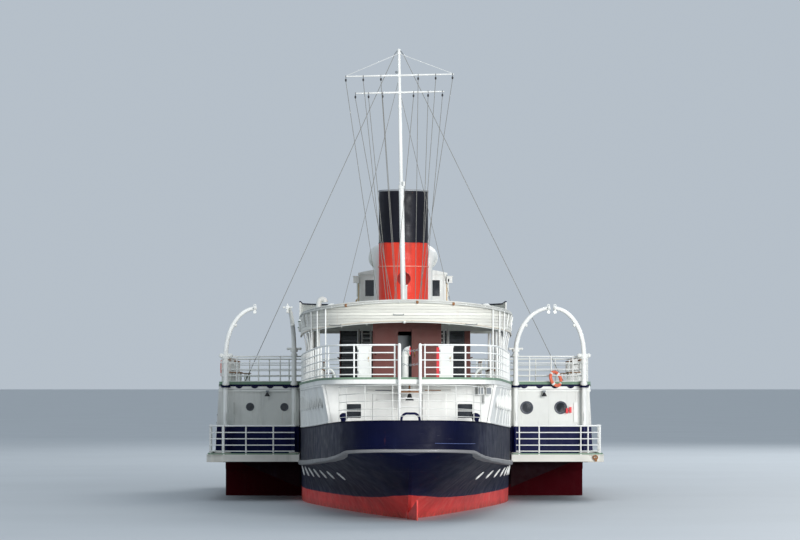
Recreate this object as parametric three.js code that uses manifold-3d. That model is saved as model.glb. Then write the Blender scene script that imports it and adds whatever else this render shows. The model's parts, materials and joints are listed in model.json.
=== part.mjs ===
// A paddle steamer afloat, as a 1:2 scale model of a 59.4 m excursion steamer.
// Frame: origin on the waterline amidships, +X to the bow, +Y to port, +Z up.
// Sizes are metres of the full-size ship. M turns them into millimetres of the model.
import * as THREE from "three";
import { mergeVertices } from "three/addons/utils/BufferGeometryUtils.js";
import Module from "manifold-3d";

const wasm = await Module();
wasm.setup();

const M = 500;
const GAP = 0.001; // between faces that touch, 0.5 mm on the model
const SIDES = { port: 1, starboard: -1 };

// Hull stations. At and forward of the sternpost, water is the half-breadth at the waterline.
const HULL_LINES = [
  { x: -29.7, deck: 0.5, water: 0, bottom: 1.95, flare: 0.8 },
  { x: -29.5, deck: 1.1, water: 0, bottom: 1.78, flare: 0.8 },
  { x: -29.1, deck: 1.55, water: 0, bottom: 1.5, flare: 0.85 },
  { x: -28.4, deck: 1.92, water: 0, bottom: 1.1, flare: 0.95 },
  { x: -27.6, deck: 2.14, water: 0, bottom: 0.65, flare: 1.05 },
  { x: -26.9, deck: 2.27, water: 0, bottom: 0.25, flare: 1.15 },
  { x: -26.2, deck: 2.36, water: 0.1, bottom: -0.12, flare: 1.3 },
  { x: -24.5, deck: 2.55, water: 0.65, bottom: -0.5, flare: 1.5 },
  { x: -22.5, deck: 2.74, water: 1.12, bottom: -0.75, flare: 1.6 },
  { x: -20.0, deck: 2.96, water: 1.7, bottom: -0.9, flare: 1.7 },
  { x: -17.0, deck: 3.2, water: 2.32, bottom: -0.95, flare: 1.8 },
  { x: -13.4, deck: 3.44, water: 3.0, bottom: -0.95, flare: 2.0 },
  { x: -10.0, deck: 3.6, water: 3.48, bottom: -0.95, flare: 2.0 },
  { x: -6.0, deck: 3.69, water: 3.66, bottom: -0.95, flare: 2.0 },
  { x: 0.0, deck: 3.69, water: 3.68, bottom: -0.95, flare: 2.0 },
  { x: 7.0, deck: 3.69, water: 3.6, bottom: -0.95, flare: 2.0 },
  { x: 12.0, deck: 3.62, water: 3.2, bottom: -0.95, flare: 1.9 },
  { x: 17.0, deck: 3.3, water: 2.5, bottom: -0.95, flare: 1.8 },
  { x: 21.0, deck: 2.75, water: 1.8, bottom: -0.95, flare: 1.7 },
  { x: 24.5, deck: 1.98, water: 1.05, bottom: -0.95, flare: 1.6 },
  { x: 27.2, deck: 1.15, water: 0.42, bottom: -0.9, flare: 1.5 },
  { x: 28.8, deck: 0.55, water: 0.12, bottom: -0.6, flare: 1.4 },
  { x: 29.3, deck: 0.32, water: 0.07, bottom: -0.2, flare: 1.2 },
];
const END_X = 29.7;
const DECK_EDGE = 0.2; // height of the vertical side between the strake's foot and the deck
const STRAKE_WIDE = 0.1;
const WALL = 0.08; // cabin sides and bulwark plating with their framing

// Heights amidships and their rise to the stern and the bow.
const STRAKE = { mid: 1.25, stern: 0.79, bow: 1.15 };
const BULWARK = { mid: 2.5, stern: 0.48, bow: 1.1 };
const PROMENADE = { mid: 4.02, stern: 0.22, bow: 0.3 };
const SHEER_POWER = 2;

const MIDSHIP_HALF = 3.74; // where the promenade deck meets the paddle boxes

// Promenade deck edge outside the paddle boxes.
const PROMENADE_EDGE = [
  { x: -27.3, half: 1.0 },
  { x: -27.15, half: 1.75 },
  { x: -26.85, half: 2.2 },
  { x: -26.3, half: 2.5 },
  { x: -25.4, half: 2.72 },
  { x: -23.5, half: 2.9 },
  { x: -20.0, half: 3.16 },
  { x: -15.0, half: 3.46 },
  { x: -10.0, half: 3.66 },
  { x: -6.4, half: MIDSHIP_HALF },
  { x: 6.4, half: MIDSHIP_HALF },
  { x: 12.0, half: 3.68 },
  { x: 16.0, half: 3.42 },
  { x: 17.8, half: 3.15 },
  { x: 18.4, half: 2.7 },
  { x: 18.7, half: 1.7 },
];
const PROMENADE_THICK = 0.16;
const RAIL_HIGH = 1.0;

const SALOON = { aft: -25.6, fore: 17.4 };
const SPONSON = { aft: -9.0, fore: 9.0, out: 6.93, thick: 0.26, top: 1.6, corner: 0.6 };
const BOX = { aft: -6.5, fore: 6.5, out: 6.5, well: 2.45 };
const DRUM = { half: 2.6, top: 6.76, foot: 6.88 }; // the paddle box's bulge outboard of the wheel
const GUARD = { low: -0.1, high: 1.339, half: 2.6, foot: 0.25, footHigh: 0.36 };
const WHEEL = { x: 0, z: 1.12, inner: 4.02, outer: 6.08, floats: 8 };
const SHAFT = { radius: 0.17 };
const BEARING_SIDES = 24;
const BEARING_PLAY = 0.0004;
// Radius of a faceted hole round a turning shaft.
const bearing = (radius) => radius / Math.cos(Math.PI / BEARING_SIDES) + BEARING_PLAY;
// The rudder's top edge rises aft, and it lies turned to starboard by some degrees.
const RUDDER = { x: -26.75, aft: -28.0, foot: -0.9, top: 0.12, aftTop: 0.6, thick: 0.12, turn: 10 };
const STOCK = { radius: 0.09, top: 1.2 };

// Upper works.
const CANOPY = { crown: 6.7, camber: 0.026, skin: 0.1, skirt: 0.66 };
const BRIDGE = { deck: 6.24, thick: 0.14 };
const CASING = { aft: -7.2, fore: 8.2, half: 2.3 };
const CASING_WINDOWS = [-6.3, -4.2, -2.1, 2.9, 5.0];
const CASING_END_WINDOW = { near: 0.9, far: 1.9 };
const DECKHOUSE = { aft: -16.6, fore: -11.4, half: 1.1, top: 6.5, doorHalf: 0.3, doorHigh: 1.68 };
const DECKHOUSE_WINDOWS = [-15.6, -13.4];
const CABIN_WINDOW = { low: 0.8, high: 1.5, long: 1.3 }; // above the promenade deck
const WHEELHOUSE = { aft: 5.0, fore: 7.4, half: 1.68, top: 8.28 };
const WHEELHOUSE_ROOF = { crown: 8.56, camber: 0.07, out: 0.04, aft: 0.05, fore: 0.2 };
const WHEELHOUSE_WINDOW = { low: 1.25, high: 1.85, near: 1.07, far: 1.41 }; // above the bridge deck
const WHEELHOUSE_DOOR = { aft: 0.3, fore: 1.1, high: 1.9 };
const FUNNEL = { x: 1.0, radius: 0.925, top: 11.32, wall: 0.05, seam: 8.42 };
const MAST = { x: -6.0, join: 11.1, top: 16.0, radius: 0.09, topRadius: 0.065, footY: 0.04, topY: 0.21 };
const YARDS = [
  { z: 15.05, half: 1.94 },
  { z: 14.44, half: 1.59 },
];
const YARD = { aft: 0.05, radius: 0.035 };
const STAYS = { high: 15.9, x: -3.6, foot: 5.5, radius: 0.014 };
const COWLS = [
  { name: "cowl_port", x: 2.75, y: 0.84, z: 8.88, head: 0.47, pipe: 0.27, heading: 0 },
  { name: "cowl_starboard", x: 2.75, y: -0.84, z: 8.88, head: 0.47, pipe: 0.27, heading: 0 },
  { name: "cowl_small", x: -1.6, y: 0, z: 7.93, head: 0.24, pipe: 0.12, heading: 180 },
  { name: "cowl_promenade", x: -24.6, y: 0.12, z: 5.05, head: 0.15, pipe: 0.1, heading: -100 },
];
// Each davit's arm points along heading, in degrees from the bow round by port.
const DAVITS = [
  { name: "davit_port_outer", y: 6.33, reach: 1.08, heading: -90 },
  { name: "davit_port_inner", y: 3.92, reach: 1.22, heading: 170 },
  { name: "davit_starboard_inner", y: -3.92, reach: 1.22, heading: -90 },
  { name: "davit_starboard_outer", y: -6.33, reach: 1.08, heading: 90 },
];
const WINDLASS = { x: 25.4, half: 0.55, drum: 0.26 };
const HATCH = { x: 21.6, long: 1.8, half: 0.7 };
const DAVIT = { x: -6.78, bend: 5.12, rise: 1.62, radius: 0.07 };
const LADDER = { x: -27.42, half: 0.31, rungs: 8, pitch: 0.25 };
const LOCKER = { aft: -25.4, fore: -24.6, half: 0.21, high: 1.0, port: 1.36, starboard: -1.12 };
const BOLLARD = { x: -26.9, y: 1.97, long: 0.35, spread: 0.18, radius: 0.09, top: 1.05 };
const DOOR = { thick: 0.04, off: 0.02, lap: 0.05, knuckle: 0.02, ajar: 0.2 };

const paint = (hex, roughness = 0.45, metalness = 0) =>
  new THREE.MeshStandardMaterial({ color: hex, roughness, metalness });
const PAINT = {
  navy: paint(0x16234d),
  white: paint(0xe6e8e6),
  red: paint(0xc8382e),
  deck: paint(0x7f9c84, 0.8),
  cream: paint(0xd8d5c9, 0.7),
  brown: paint(0x4a2b26, 0.5),
  wheel: paint(0x8c2a22, 0.7),
  guard: paint(0x5a1219, 0.7),
  steel: paint(0x8a8d90, 0.5, 0.8),
};

const ship = new THREE.Group();

// Value of a column at x, on straight lines between the rows of a table.
function along(table, x, column) {
  const last = table.length - 1;
  if (x <= table[0].x) return table[0][column];
  if (x >= table[last].x) return table[last][column];
  const i = table.findIndex((row) => row.x > x) - 1;
  const t = (x - table[i].x) / (table[i + 1].x - table[i].x);
  return table[i][column] * (1 - t) + table[i + 1][column] * t;
}

// Sheer of a line, straight between the hull stations.
const rise = (line, x) => line.mid + (x < 0 ? line.stern : line.bow) * (Math.abs(x) / END_X) ** SHEER_POWER;
const sheerOf = (line) => {
  const table = [...HULL_LINES.map(({ x }) => x), END_X].map((x) => ({ x, z: rise(line, x) }));
  return (x) => along(table, x, "z");
};
const strakeZ = sheerOf(STRAKE);
const bulwarkZ = sheerOf(BULWARK);
const promZ = sheerOf(PROMENADE);
const deckZ = (x) => strakeZ(x) + DECK_EDGE;
const deckHalf = (x) => along(HULL_LINES, x, "deck");
const promHalf = (x) => along(PROMENADE_EDGE, x, "half");

// SOLIDS

function solid(geometry) {
  const g = geometry.clone();
  g.deleteAttribute("normal");
  g.deleteAttribute("uv");
  const merged = mergeVertices(g, 1e-3);
  return new wasm.Manifold(
    new wasm.Mesh({
      numProp: 3,
      vertProperties: merged.attributes.position.array,
      triVerts: new Uint32Array(merged.index.array),
    }),
  );
}

function add(name, manifold, material) {
  const m = manifold.getMesh();
  const g = new THREE.BufferGeometry();
  g.setAttribute("position", new THREE.BufferAttribute(new Float32Array(m.vertProperties), 3));
  g.setIndex(new THREE.BufferAttribute(new Uint32Array(m.triVerts), 1));
  g.computeVertexNormals();
  const mesh = new THREE.Mesh(g, material);
  mesh.name = name;
  ship.add(mesh);
}

const join = (list) => list.reduce((a, b) => a.add(b));

// A skin over closed loops of equal length. With ring, the last loop joins the first, and there are no caps.
function loft(loops, ring = false) {
  const n = loops[0].length;
  const index = [];
  for (let s = 0; s < (ring ? loops.length : loops.length - 1); s++) {
    const a = s * n;
    const b = ((s + 1) % loops.length) * n;
    for (let i = 0; i < n; i++) {
      const j = (i + 1) % n;
      index.push(a + i, b + i, b + j, a + i, b + j, a + j);
    }
  }
  if (!ring) {
    index.push(...cap(loops[0], 0, false));
    index.push(...cap(loops[loops.length - 1], (loops.length - 1) * n, true));
  }
  const g = new THREE.BufferGeometry();
  const points = loops.flat(2).map((v) => v * M);
  g.setAttribute("position", new THREE.BufferAttribute(new Float32Array(points), 3));
  g.setIndex(index);
  const made = solid(g);
  if (made.volume() >= 0) return made;
  g.setIndex(index.reverse());
  return solid(g);
}

// Triangles over a loop, seen in the plane it spreads in, turned the same way as the loop or against it.
function cap(loop, first, against) {
  const spread = [0, 1, 2].map((k) => Math.max(...loop.map((p) => p[k])) - Math.min(...loop.map((p) => p[k])));
  const flat = spread.indexOf(Math.min(...spread));
  const [u, v] = [0, 1, 2].filter((k) => k !== flat);
  const points = loop.map((p) => new THREE.Vector2(p[u], p[v]));
  const order = points.map((_, i) => i);
  const clockwise = THREE.ShapeUtils.isClockWise(points);
  if (clockwise) order.reverse();
  const faces = THREE.ShapeUtils.triangulateShape(order.map((i) => points[i]), []);
  return faces.flatMap((face) => {
    const triangle = face.map((i) => first + order[i]);
    return clockwise === against ? triangle : triangle.reverse();
  });
}

function box(x0, y0, z0, x1, y1, z1) {
  const g = new THREE.BoxGeometry(Math.abs(x1 - x0) * M, Math.abs(y1 - y0) * M, Math.abs(z1 - z0) * M);
  g.translate(((x0 + x1) / 2) * M, ((y0 + y1) / 2) * M, ((z0 + z1) / 2) * M);
  return solid(g);
}

// A round bar between two points, tapered where the end radius differs.
function rod(from, to, radius, sides = 8, endRadius = radius) {
  const a = new THREE.Vector3(...from).multiplyScalar(M);
  const d = new THREE.Vector3(...to).multiplyScalar(M).sub(a);
  const g = new THREE.CylinderGeometry(endRadius * M, radius * M, d.length(), sides);
  g.translate(0, d.length() / 2, 0);
  g.applyQuaternion(new THREE.Quaternion().setFromUnitVectors(new THREE.Vector3(0, 1, 0), d.normalize()));
  g.translate(a.x, a.y, a.z);
  return solid(g);
}

// A round tube that follows points smoothly.
function bent(points, radius, sides = 8, count = 12) {
  const path = new THREE.CatmullRomCurve3(points.map((p) => new THREE.Vector3(...p).multiplyScalar(M)));
  const circle = new THREE.Shape(
    Array.from({ length: sides }, (_, i) => {
      const angle = (i / sides) * 2 * Math.PI;
      return new THREE.Vector2(Math.cos(angle) * radius * M, Math.sin(angle) * radius * M);
    }),
  );
  return solid(new THREE.ExtrudeGeometry(circle, { steps: count, extrudePath: path, bevelEnabled: false }));
}

// A lathed solid about a vertical axis. The profile runs from the axis back to the axis, or closes.
function turned(profile, x, y, sides = 20) {
  const g = new THREE.LatheGeometry(profile.map(([r, z]) => new THREE.Vector2(r * M, z * M)), sides);
  g.rotateX(Math.PI / 2);
  g.translate(x * M, y * M, 0);
  const made = solid(g);
  if (made.volume() >= 0) return made;
  const index = g.index.array;
  g.setIndex([...index].reverse());
  return solid(g);
}

// PLAN LINES. Points run so that the left hand is outboard.

const sternFirst = (xs, half) => [
  ...xs.slice().reverse().map((x) => [x, -half(x)]),
  ...xs.map((x) => [x, half(x)]),
];
const bowFirst = (xs, half) => [
  ...xs.map((x) => [x, half(x)]),
  ...xs.slice().reverse().map((x) => [x, -half(x)]),
];
const sideLine = (xs, half, side) => {
  const line = xs.map((x) => [x, side * half(x)]);
  return side > 0 ? line : line.reverse();
};

// The line moved outboard by a distance, with mitred corners.
function moved(line, out, ring) {
  const n = line.length;
  const normal = (i) => {
    const [a, b] = [line[(i + n) % n], line[(i + 1 + n) % n]];
    const length = Math.hypot(b[0] - a[0], b[1] - a[1]);
    return [-(b[1] - a[1]) / length, (b[0] - a[0]) / length];
  };
  return line.map(([x, y], i) => {
    const before = !ring && i === 0 ? normal(0) : normal(i - 1);
    const after = !ring && i === n - 1 ? normal(n - 2) : normal(i);
    const scale = out / (1 + before[0] * after[0] + before[1] * after[1]);
    return [x + (before[0] + after[0]) * scale, y + (before[1] + after[1]) * scale];
  });
}

// A profile carried along a plan line. Each profile point is a distance outboard and a height at x.
function sweep(line, profile, ring = false) {
  const lines = profile.map(([out]) => moved(line, out, ring));
  const loops = line.map((_, i) => profile.map(([, height], k) => [...lines[k][i], height(lines[k][i][0])]));
  return loft(loops, ring);
}

const plus = (height, extra) => (x) => height(x) + extra;
const bandProfile = (inner, outer, low, high) => [
  [inner, low],
  [outer, low],
  [outer, high],
  [inner, high],
];

// Points along a line at equal spacing, with both ends.
function spaced(line, pitch) {
  const lengths = line.slice(1).map((p, i) => Math.hypot(p[0] - line[i][0], p[1] - line[i][1]));
  const total = lengths.reduce((a, b) => a + b, 0);
  const count = Math.max(1, Math.round(total / pitch));
  return Array.from({ length: count + 1 }, (_, k) => {
    let left = (total * k) / count;
    let i = 0;
    while (i < lengths.length - 1 && left > lengths[i]) left -= lengths[i++];
    const t = Math.min(1, left / lengths[i]);
    return [0, 1].map((c) => line[i][c] * (1 - t) + line[i + 1][c] * t);
  });
}

const RAIL_POST = 0.05;
const RAIL_BAR = 0.036;
const TOP_BAR = 0.056;

// A ship's rail: square stanchions with bars at the given parts of its height.
function rail(line, ground, high, bars, pitch = 2.4) {
  const parts = bars.map((part) => {
    const half = (part === 1 ? TOP_BAR : RAIL_BAR) / 2;
    const z = plus(ground, high * part);
    return sweep(line, bandProfile(-half, half, plus(z, -half), plus(z, half)));
  });
  for (const [x, y] of spaced(moved(line, 0, false), pitch)) {
    const half = RAIL_POST / 2;
    const low = Math.max(ground(x - half), ground(x + half)) + GAP;
    parts.push(box(x - half, y - half, low, x + half, y + half, ground(x) + high));
  }
  return join(parts);
}
const BARS = [0.12, 0.33, 0.55, 0.77, 1];
const FEW_BARS = [0.33, 0.67, 1];

// HULL

const BILGE = [1.0, 0.93, 0.75, 0.5, 0.25];
const TOPSIDE = [0.12, 0.3, 0.5, 0.7, 0.87, 1.0];
const STEM_HALF = 0.05;
const SKEG = { half: 0.07, foot: -0.93 };
const RUDDER_SLOT = { aft: 2, fore: 0.22, half: 0.3, over: 0.06 };

function hullLoop({ x, deck, water, bottom, flare }) {
  const top = strakeZ(x);
  const side = [];
  if (bottom < 0) {
    const full = 2 + 2 * (water / 3.68);
    for (const t of BILGE) side.push([water * (1 - t ** full) ** (1 / full), bottom * t]);
    side.push([water, 0]);
    for (const t of TOPSIDE) side.push([water + (deck - water) * t ** flare, top * t]);
  } else {
    const steps = [...BILGE.map((_, i) => i * 0.02), 0.1, ...TOPSIDE];
    for (const t of steps) side.push([deck * t ** flare, bottom + (top - bottom) * t]);
  }
  side.push([deck, deckZ(x)]);
  const port = side.map(([y, z]) => [x, Math.max(y, STEM_HALF), z]);
  return [...port, ...port.map(([, y, z]) => [x, -y, z]).reverse()];
}

function buildHull() {
  const stem = { x: END_X, deck: 0.16, water: 0.05, bottom: 0.6, flare: 1 };
  const shell = loft([...HULL_LINES.map(hullLoop), hullLoop(stem)]);
  const skeg = loft(
    [
      { x: RUDDER.x + 0.3, high: 0.6 },
      { x: -24.5, high: 0.2 },
      { x: -17.0, high: -0.8 },
    ].map(({ x, high }) => [
      [x, SKEG.half, SKEG.foot],
      [x, -SKEG.half, SKEG.foot],
      [x, -SKEG.half, high],
      [x, SKEG.half, high],
    ]),
  );
  const tunnel = rod([WHEEL.x, -4, WHEEL.z], [WHEEL.x, 4, WHEEL.z], bearing(SHAFT.radius), BEARING_SIDES);
  const trunk = rod([RUDDER.x, 0, -0.5], [RUDDER.x, 0, STOCK.top + 0.1], bearing(STOCK.radius), BEARING_SIDES);
  const gap = RUDDER_SLOT;
  const slot = box(RUDDER.x - gap.aft, -gap.half, -1, RUDDER.x + gap.fore, gap.half, RUDDER.top + gap.over);
  add("hull", shell.add(skeg).subtract(tunnel).subtract(trunk).subtract(slot), PAINT.navy);
}

function buildRudder() {
  const { x, aft, foot, top, aftTop, thick, turn } = RUDDER;
  const fore = x + thick;
  const side = (y, tip) => [
    [fore, y, foot],
    [aft, tip, foot],
    [aft, tip, aftTop],
    [fore, y, top],
  ];
  const blade = loft([side(-thick / 2, -thick / 6), side(thick / 2, thick / 6)]);
  const stock = rod([x, 0, foot], [x, 0, STOCK.top], STOCK.radius, BEARING_SIDES);
  const turned = blade.translate([-x * M, 0, 0]).rotate([0, 0, turn]).translate([x * M, 0, 0]);
  add("rudder", turned.add(stock), PAINT.red);
}

const stations = HULL_LINES.map(({ x }) => x).concat(END_X);
const hullHalf = (x) => (x >= 29.3 ? 0.32 - (0.16 * (x - 29.3)) / (END_X - 29.3) : deckHalf(x));

function buildStrakes() {
  const profile = bandProfile(GAP, STRAKE_WIDE, strakeZ, plus(strakeZ, STRAKE_WIDE));
  const aft = [...stations.filter((x) => x < SPONSON.aft), SPONSON.aft - GAP];
  const fore = [SPONSON.fore + GAP, ...stations.filter((x) => x > SPONSON.fore)];
  add("rubbing_strake_aft", sweep(sternFirst(aft, hullHalf), profile), PAINT.cream);
  add("rubbing_strake_fore", sweep(bowFirst(fore, hullHalf), profile), PAINT.cream);
}

function buildBulwarks() {
  const profile = [
    [0, plus(deckZ, GAP)],
    [0, bulwarkZ],
    [-WALL, bulwarkZ],
    [-WALL, plus(deckZ, GAP)],
  ];
  const aft = [...stations.filter((x) => x < 0), -GAP / 2];
  const fore = [GAP / 2, ...stations.filter((x) => x > 0)];
  add("bulwark_aft", sweep(sternFirst(aft, hullHalf), profile), PAINT.navy);
  add("bulwark_fore", sweep(bowFirst(fore, hullHalf), profile), PAINT.navy);
}

// MAIN DECK SALOON

function saloonWall(side) {
  const xs = [SALOON.aft, ...stations.filter((x) => x > SALOON.aft && x < SALOON.fore), SALOON.fore];
  const high = (x) => promHalf(x) - 0.03;
  const low = sideLine(xs, hullHalf, side);
  const top = sideLine(xs, high, side);
  const [lowIn, topIn] = [moved(low, -WALL, false), moved(top, -WALL, false)];
  return loft(
    low.map(([x, y], i) => [
      [x, y, bulwarkZ(x) + GAP],
      [x, lowIn[i][1], bulwarkZ(x) + GAP],
      [x, topIn[i][1], promZ(x) - PROMENADE_THICK - GAP],
      [x, top[i][1], promZ(x) - PROMENADE_THICK - GAP],
    ]),
  );
}

const SALOON_DOOR = { near: 0.45, far: 1.05, low: 0.1, high: 1.65 };
const SALOON_WINDOW = { near: 1.46, far: 1.91, low: 0.16, high: 0.58 };

function bulkhead(x, inward, doors) {
  const inner = x + inward * WALL;
  const narrow = (half) => Math.min(half(x), half(inner)) - WALL - 2 * GAP;
  const low = narrow(hullHalf) - 0.01;
  const high = narrow((at) => promHalf(at) - 0.03) - 0.01;
  const floor = Math.max(deckZ(x), deckZ(inner)) + GAP;
  const knee = bulwarkZ(x);
  const top = Math.min(promZ(x), promZ(inner)) - PROMENADE_THICK - GAP;
  const outline = (at) => [
    [at, low, floor],
    [at, low, knee],
    [at, high, top],
    [at, -high, top],
    [at, -low, knee],
    [at, -low, floor],
  ];
  let panel = loft([outline(x), outline(inner)]);
  const cut = (side, { near, far, low: foot, high: head }, from) => {
    panel = panel.subtract(box(x - 1, side * near, from + foot, x + 1, side * far, from + head));
  };
  for (const side of [1, -1]) {
    cut(side, SALOON_WINDOW, knee);
    if (doors) cut(side, SALOON_DOOR, floor);
  }
  return panel;
}

function buildSaloon() {
  for (const [name, side] of Object.entries(SIDES)) add(`saloon_side_${name}`, saloonWall(side), PAINT.white);
  add("saloon_bulkhead_aft", bulkhead(SALOON.aft, 1, true), PAINT.white);
  add("saloon_bulkhead_fore", bulkhead(SALOON.fore, -1, false), PAINT.white);
  const { near, far, low, high } = SALOON_DOOR;
  const { thick, off, lap, knuckle } = DOOR;
  const floor = deckZ(SALOON.aft) + GAP;
  const [z0, z1] = [floor + low - lap / 2, floor + high + lap];
  for (const [name, side] of Object.entries(SIDES)) {
    const face = SALOON.aft - off;
    const leaf = box(face - thick, side * (near - lap), z0, face, side * (far + lap), z1);
    const pin = [SALOON.aft - knuckle - GAP, side * (far + lap)];
    add(`saloon_door_${name}`, leaf.add(rod([...pin, z0], [...pin, z1], knuckle, 8)), PAINT.white);
  }
}

// PROMENADE DECK

const OVER_BOX = { end: 6.56, half: 6.58 };

function buildPromenadeDeck() {
  const edge = PROMENADE_EDGE.map(({ x }) => x);
  const [aft, fore] = [edge[0], edge[edge.length - 1]];
  const xs = [...new Set([...edge, ...stations.filter((x) => x > aft && x < fore)])].sort((a, b) => a - b);
  const loop = (x, half) => [
    [x, half, promZ(x)],
    [x, half, promZ(x) - PROMENADE_THICK],
    [x, -half, promZ(x) - PROMENADE_THICK],
    [x, -half, promZ(x)],
  ];
  const deck = loft(xs.map((x) => loop(x, promHalf(x))));
  const overXs = [-OVER_BOX.end, ...xs.filter((x) => Math.abs(x) < OVER_BOX.end), OVER_BOX.end];
  const over = loft(overXs.map((x) => loop(x, OVER_BOX.half)));
  add("promenade_deck", deck.add(over), PAINT.deck);
}

// SPONSONS AND PADDLE BOXES

const KNEES = [-8.2, -5.4, -3.3, 3.3, 5.4, 8.2];

function buildSponsons() {
  const { aft, fore, out, corner, top, thick } = SPONSON;
  for (const [name, side] of Object.entries(SIDES)) {
    const inner = Math.max(...[aft, fore, 0].map(hullHalf)) + GAP;
    const rows = [
      { x: aft, out: out - corner },
      { x: aft + corner * 0.3, out: out - corner * 0.3 },
      { x: aft + corner, out },
      { x: fore - corner, out },
      { x: fore - corner * 0.3, out: out - corner * 0.3 },
      { x: fore, out: out - corner },
    ];
    let deck = loft(
      rows.map((row) => [
        [row.x, side * inner, top - thick],
        [row.x, side * inner, top],
        [row.x, side * row.out, top],
        [row.x, side * row.out, top - thick],
      ]),
    );
    deck = deck.subtract(
      box(-BOX.well, side * (WHEEL.inner - 0.14), top - 1, BOX.well, side * (WHEEL.outer + 0.14), top + 1),
    );
    for (const x of KNEES) {
      const knee = (at) => [
        [at, side * inner, top - thick / 2],
        [at, side * (out - 0.8), top - thick / 2],
        [at, side * inner, 0.45],
      ];
      deck = deck.add(loft([knee(x - 0.06), knee(x + 0.06)]));
    }
    add(`sponson_deck_${name}`, deck, PAINT.cream);
  }
}

function buildPaddleBoxes() {
  const low = SPONSON.top + GAP;
  const high = Math.min(...[-BOX.fore, 0, BOX.fore].map(promZ)) - PROMENADE_THICK - GAP;
  const inner = MIDSHIP_HALF + 2 * GAP;
  for (const [name, side] of Object.entries(SIDES)) {
    const bulge = (x, thick, roof) => [
      [x, side * (BOX.out - WALL), low - thick],
      [x, side * (DRUM.foot - thick), low - thick],
      [x, side * (DRUM.top - thick), high - roof],
      [x, side * (BOX.out - WALL), high - roof],
    ];
    const hollow = DRUM.half - WALL;
    let house = box(BOX.aft, side * inner, low, BOX.fore, side * BOX.out, high);
    house = house.add(loft([bulge(-DRUM.half, 0, 0), bulge(DRUM.half, 0, 0)]));
    house = house.subtract(loft([bulge(-hollow, WALL, WALL), bulge(hollow, WALL, WALL)]));
    const rooms = [
      { aft: BOX.aft + WALL, fore: -BOX.well - WALL },
      { aft: -BOX.well, fore: BOX.well },
      { aft: BOX.well + WALL, fore: BOX.fore - WALL },
    ];
    for (const room of rooms)
      house = house.subtract(box(room.aft, side * 1, low - 1, room.fore, side * (BOX.out - WALL), high + 1));
    add(`paddle_box_${name}`, house, PAINT.white);
  }
}

function buildWheelGuards() {
  const { low, high, half, foot, footHigh } = GUARD;
  const inner = MIDSHIP_HALF + 2 * GAP;
  for (const [name, side] of Object.entries(SIDES)) {
    const shell = box(-half, side * inner, low, half, side * BOX.out, high);
    const room = box(-BOX.well, side * 1, low - 1, BOX.well, side * (BOX.out - WALL), high + 1);
    const step = box(-half - foot, side * inner, high - footHigh, half + foot, side * BOX.out, high);
    add(`wheel_guard_${name}`, shell.add(step).subtract(room), PAINT.guard);
  }
}

// PADDLE WHEELS

const WHEEL_FRAME = { ring: 1.66, ringWide: 0.1, hub: 0.4, spoke: 0.06, thick: 0.08 };
const FLOAT = { centre: 1.62, wide: 0.72, thick: 0.07, feather: 0.3 };

function wheelFrame(at) {
  const { ring, ringWide, hub, thick } = WHEEL_FRAME;
  const outline = new THREE.Shape().absarc(0, 0, (ring + ringWide / 2) * M, 0, 2 * Math.PI);
  outline.holes.push(new THREE.Path().absarc(0, 0, (ring - ringWide / 2) * M, 0, 2 * Math.PI));
  const rim = new THREE.ExtrudeGeometry(outline, { depth: thick * M, bevelEnabled: false, curveSegments: 8 });
  rim.rotateX(Math.PI / 2);
  rim.translate(WHEEL.x * M, (at + thick / 2) * M, WHEEL.z * M);
  return solid(rim).add(rod([WHEEL.x, at - 0.1, WHEEL.z], [WHEEL.x, at + 0.1, WHEEL.z], hub, 12));
}

function paddleWheel(side) {
  const frames = [WHEEL.inner + 0.12, WHEEL.outer - 0.12].map((at) => side * at);
  const shaftEnds = [WHEEL.inner - 0.14, BOX.out - WALL - 0.05];
  const parts = [
    rod([WHEEL.x, side * shaftEnds[0], WHEEL.z], [WHEEL.x, side * shaftEnds[1], WHEEL.z], SHAFT.radius, 20),
    ...frames.map(wheelFrame),
  ];
  for (let i = 0; i < WHEEL.floats; i++) {
    const angle = ((i + 0.5) / WHEEL.floats) * 2 * Math.PI;
    const [c, s] = [Math.cos(angle), Math.sin(angle)];
    const at = (r, y) => [WHEEL.x + r * c, y, WHEEL.z + r * s];
    for (const y of frames) parts.push(rod(at(0.3, y), at(1.7, y), WHEEL_FRAME.spoke, 6));
    const board = new THREE.BoxGeometry(FLOAT.thick * M, (WHEEL.outer - WHEEL.inner) * M, FLOAT.wide * M);
    board.rotateY(FLOAT.feather * c);
    const [x, y, z] = at(FLOAT.centre, (side * (WHEEL.outer + WHEEL.inner)) / 2);
    board.translate(x * M, y * M, z * M);
    parts.push(solid(board));
  }
  return join(parts);
}

function buildWheels() {
  const end = WHEEL.inner - 0.14 - GAP;
  const shaft = rod([WHEEL.x, -end, WHEEL.z], [WHEEL.x, end, WHEEL.z], SHAFT.radius, BEARING_SIDES);
  add("paddle_shaft", shaft, PAINT.steel);
  for (const [name, side] of Object.entries(SIDES)) add(`paddle_wheel_${name}`, paddleWheel(side), PAINT.wheel);
}

// RAILS

const IN = 0.09; // from a deck's edge to its rail

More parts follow.
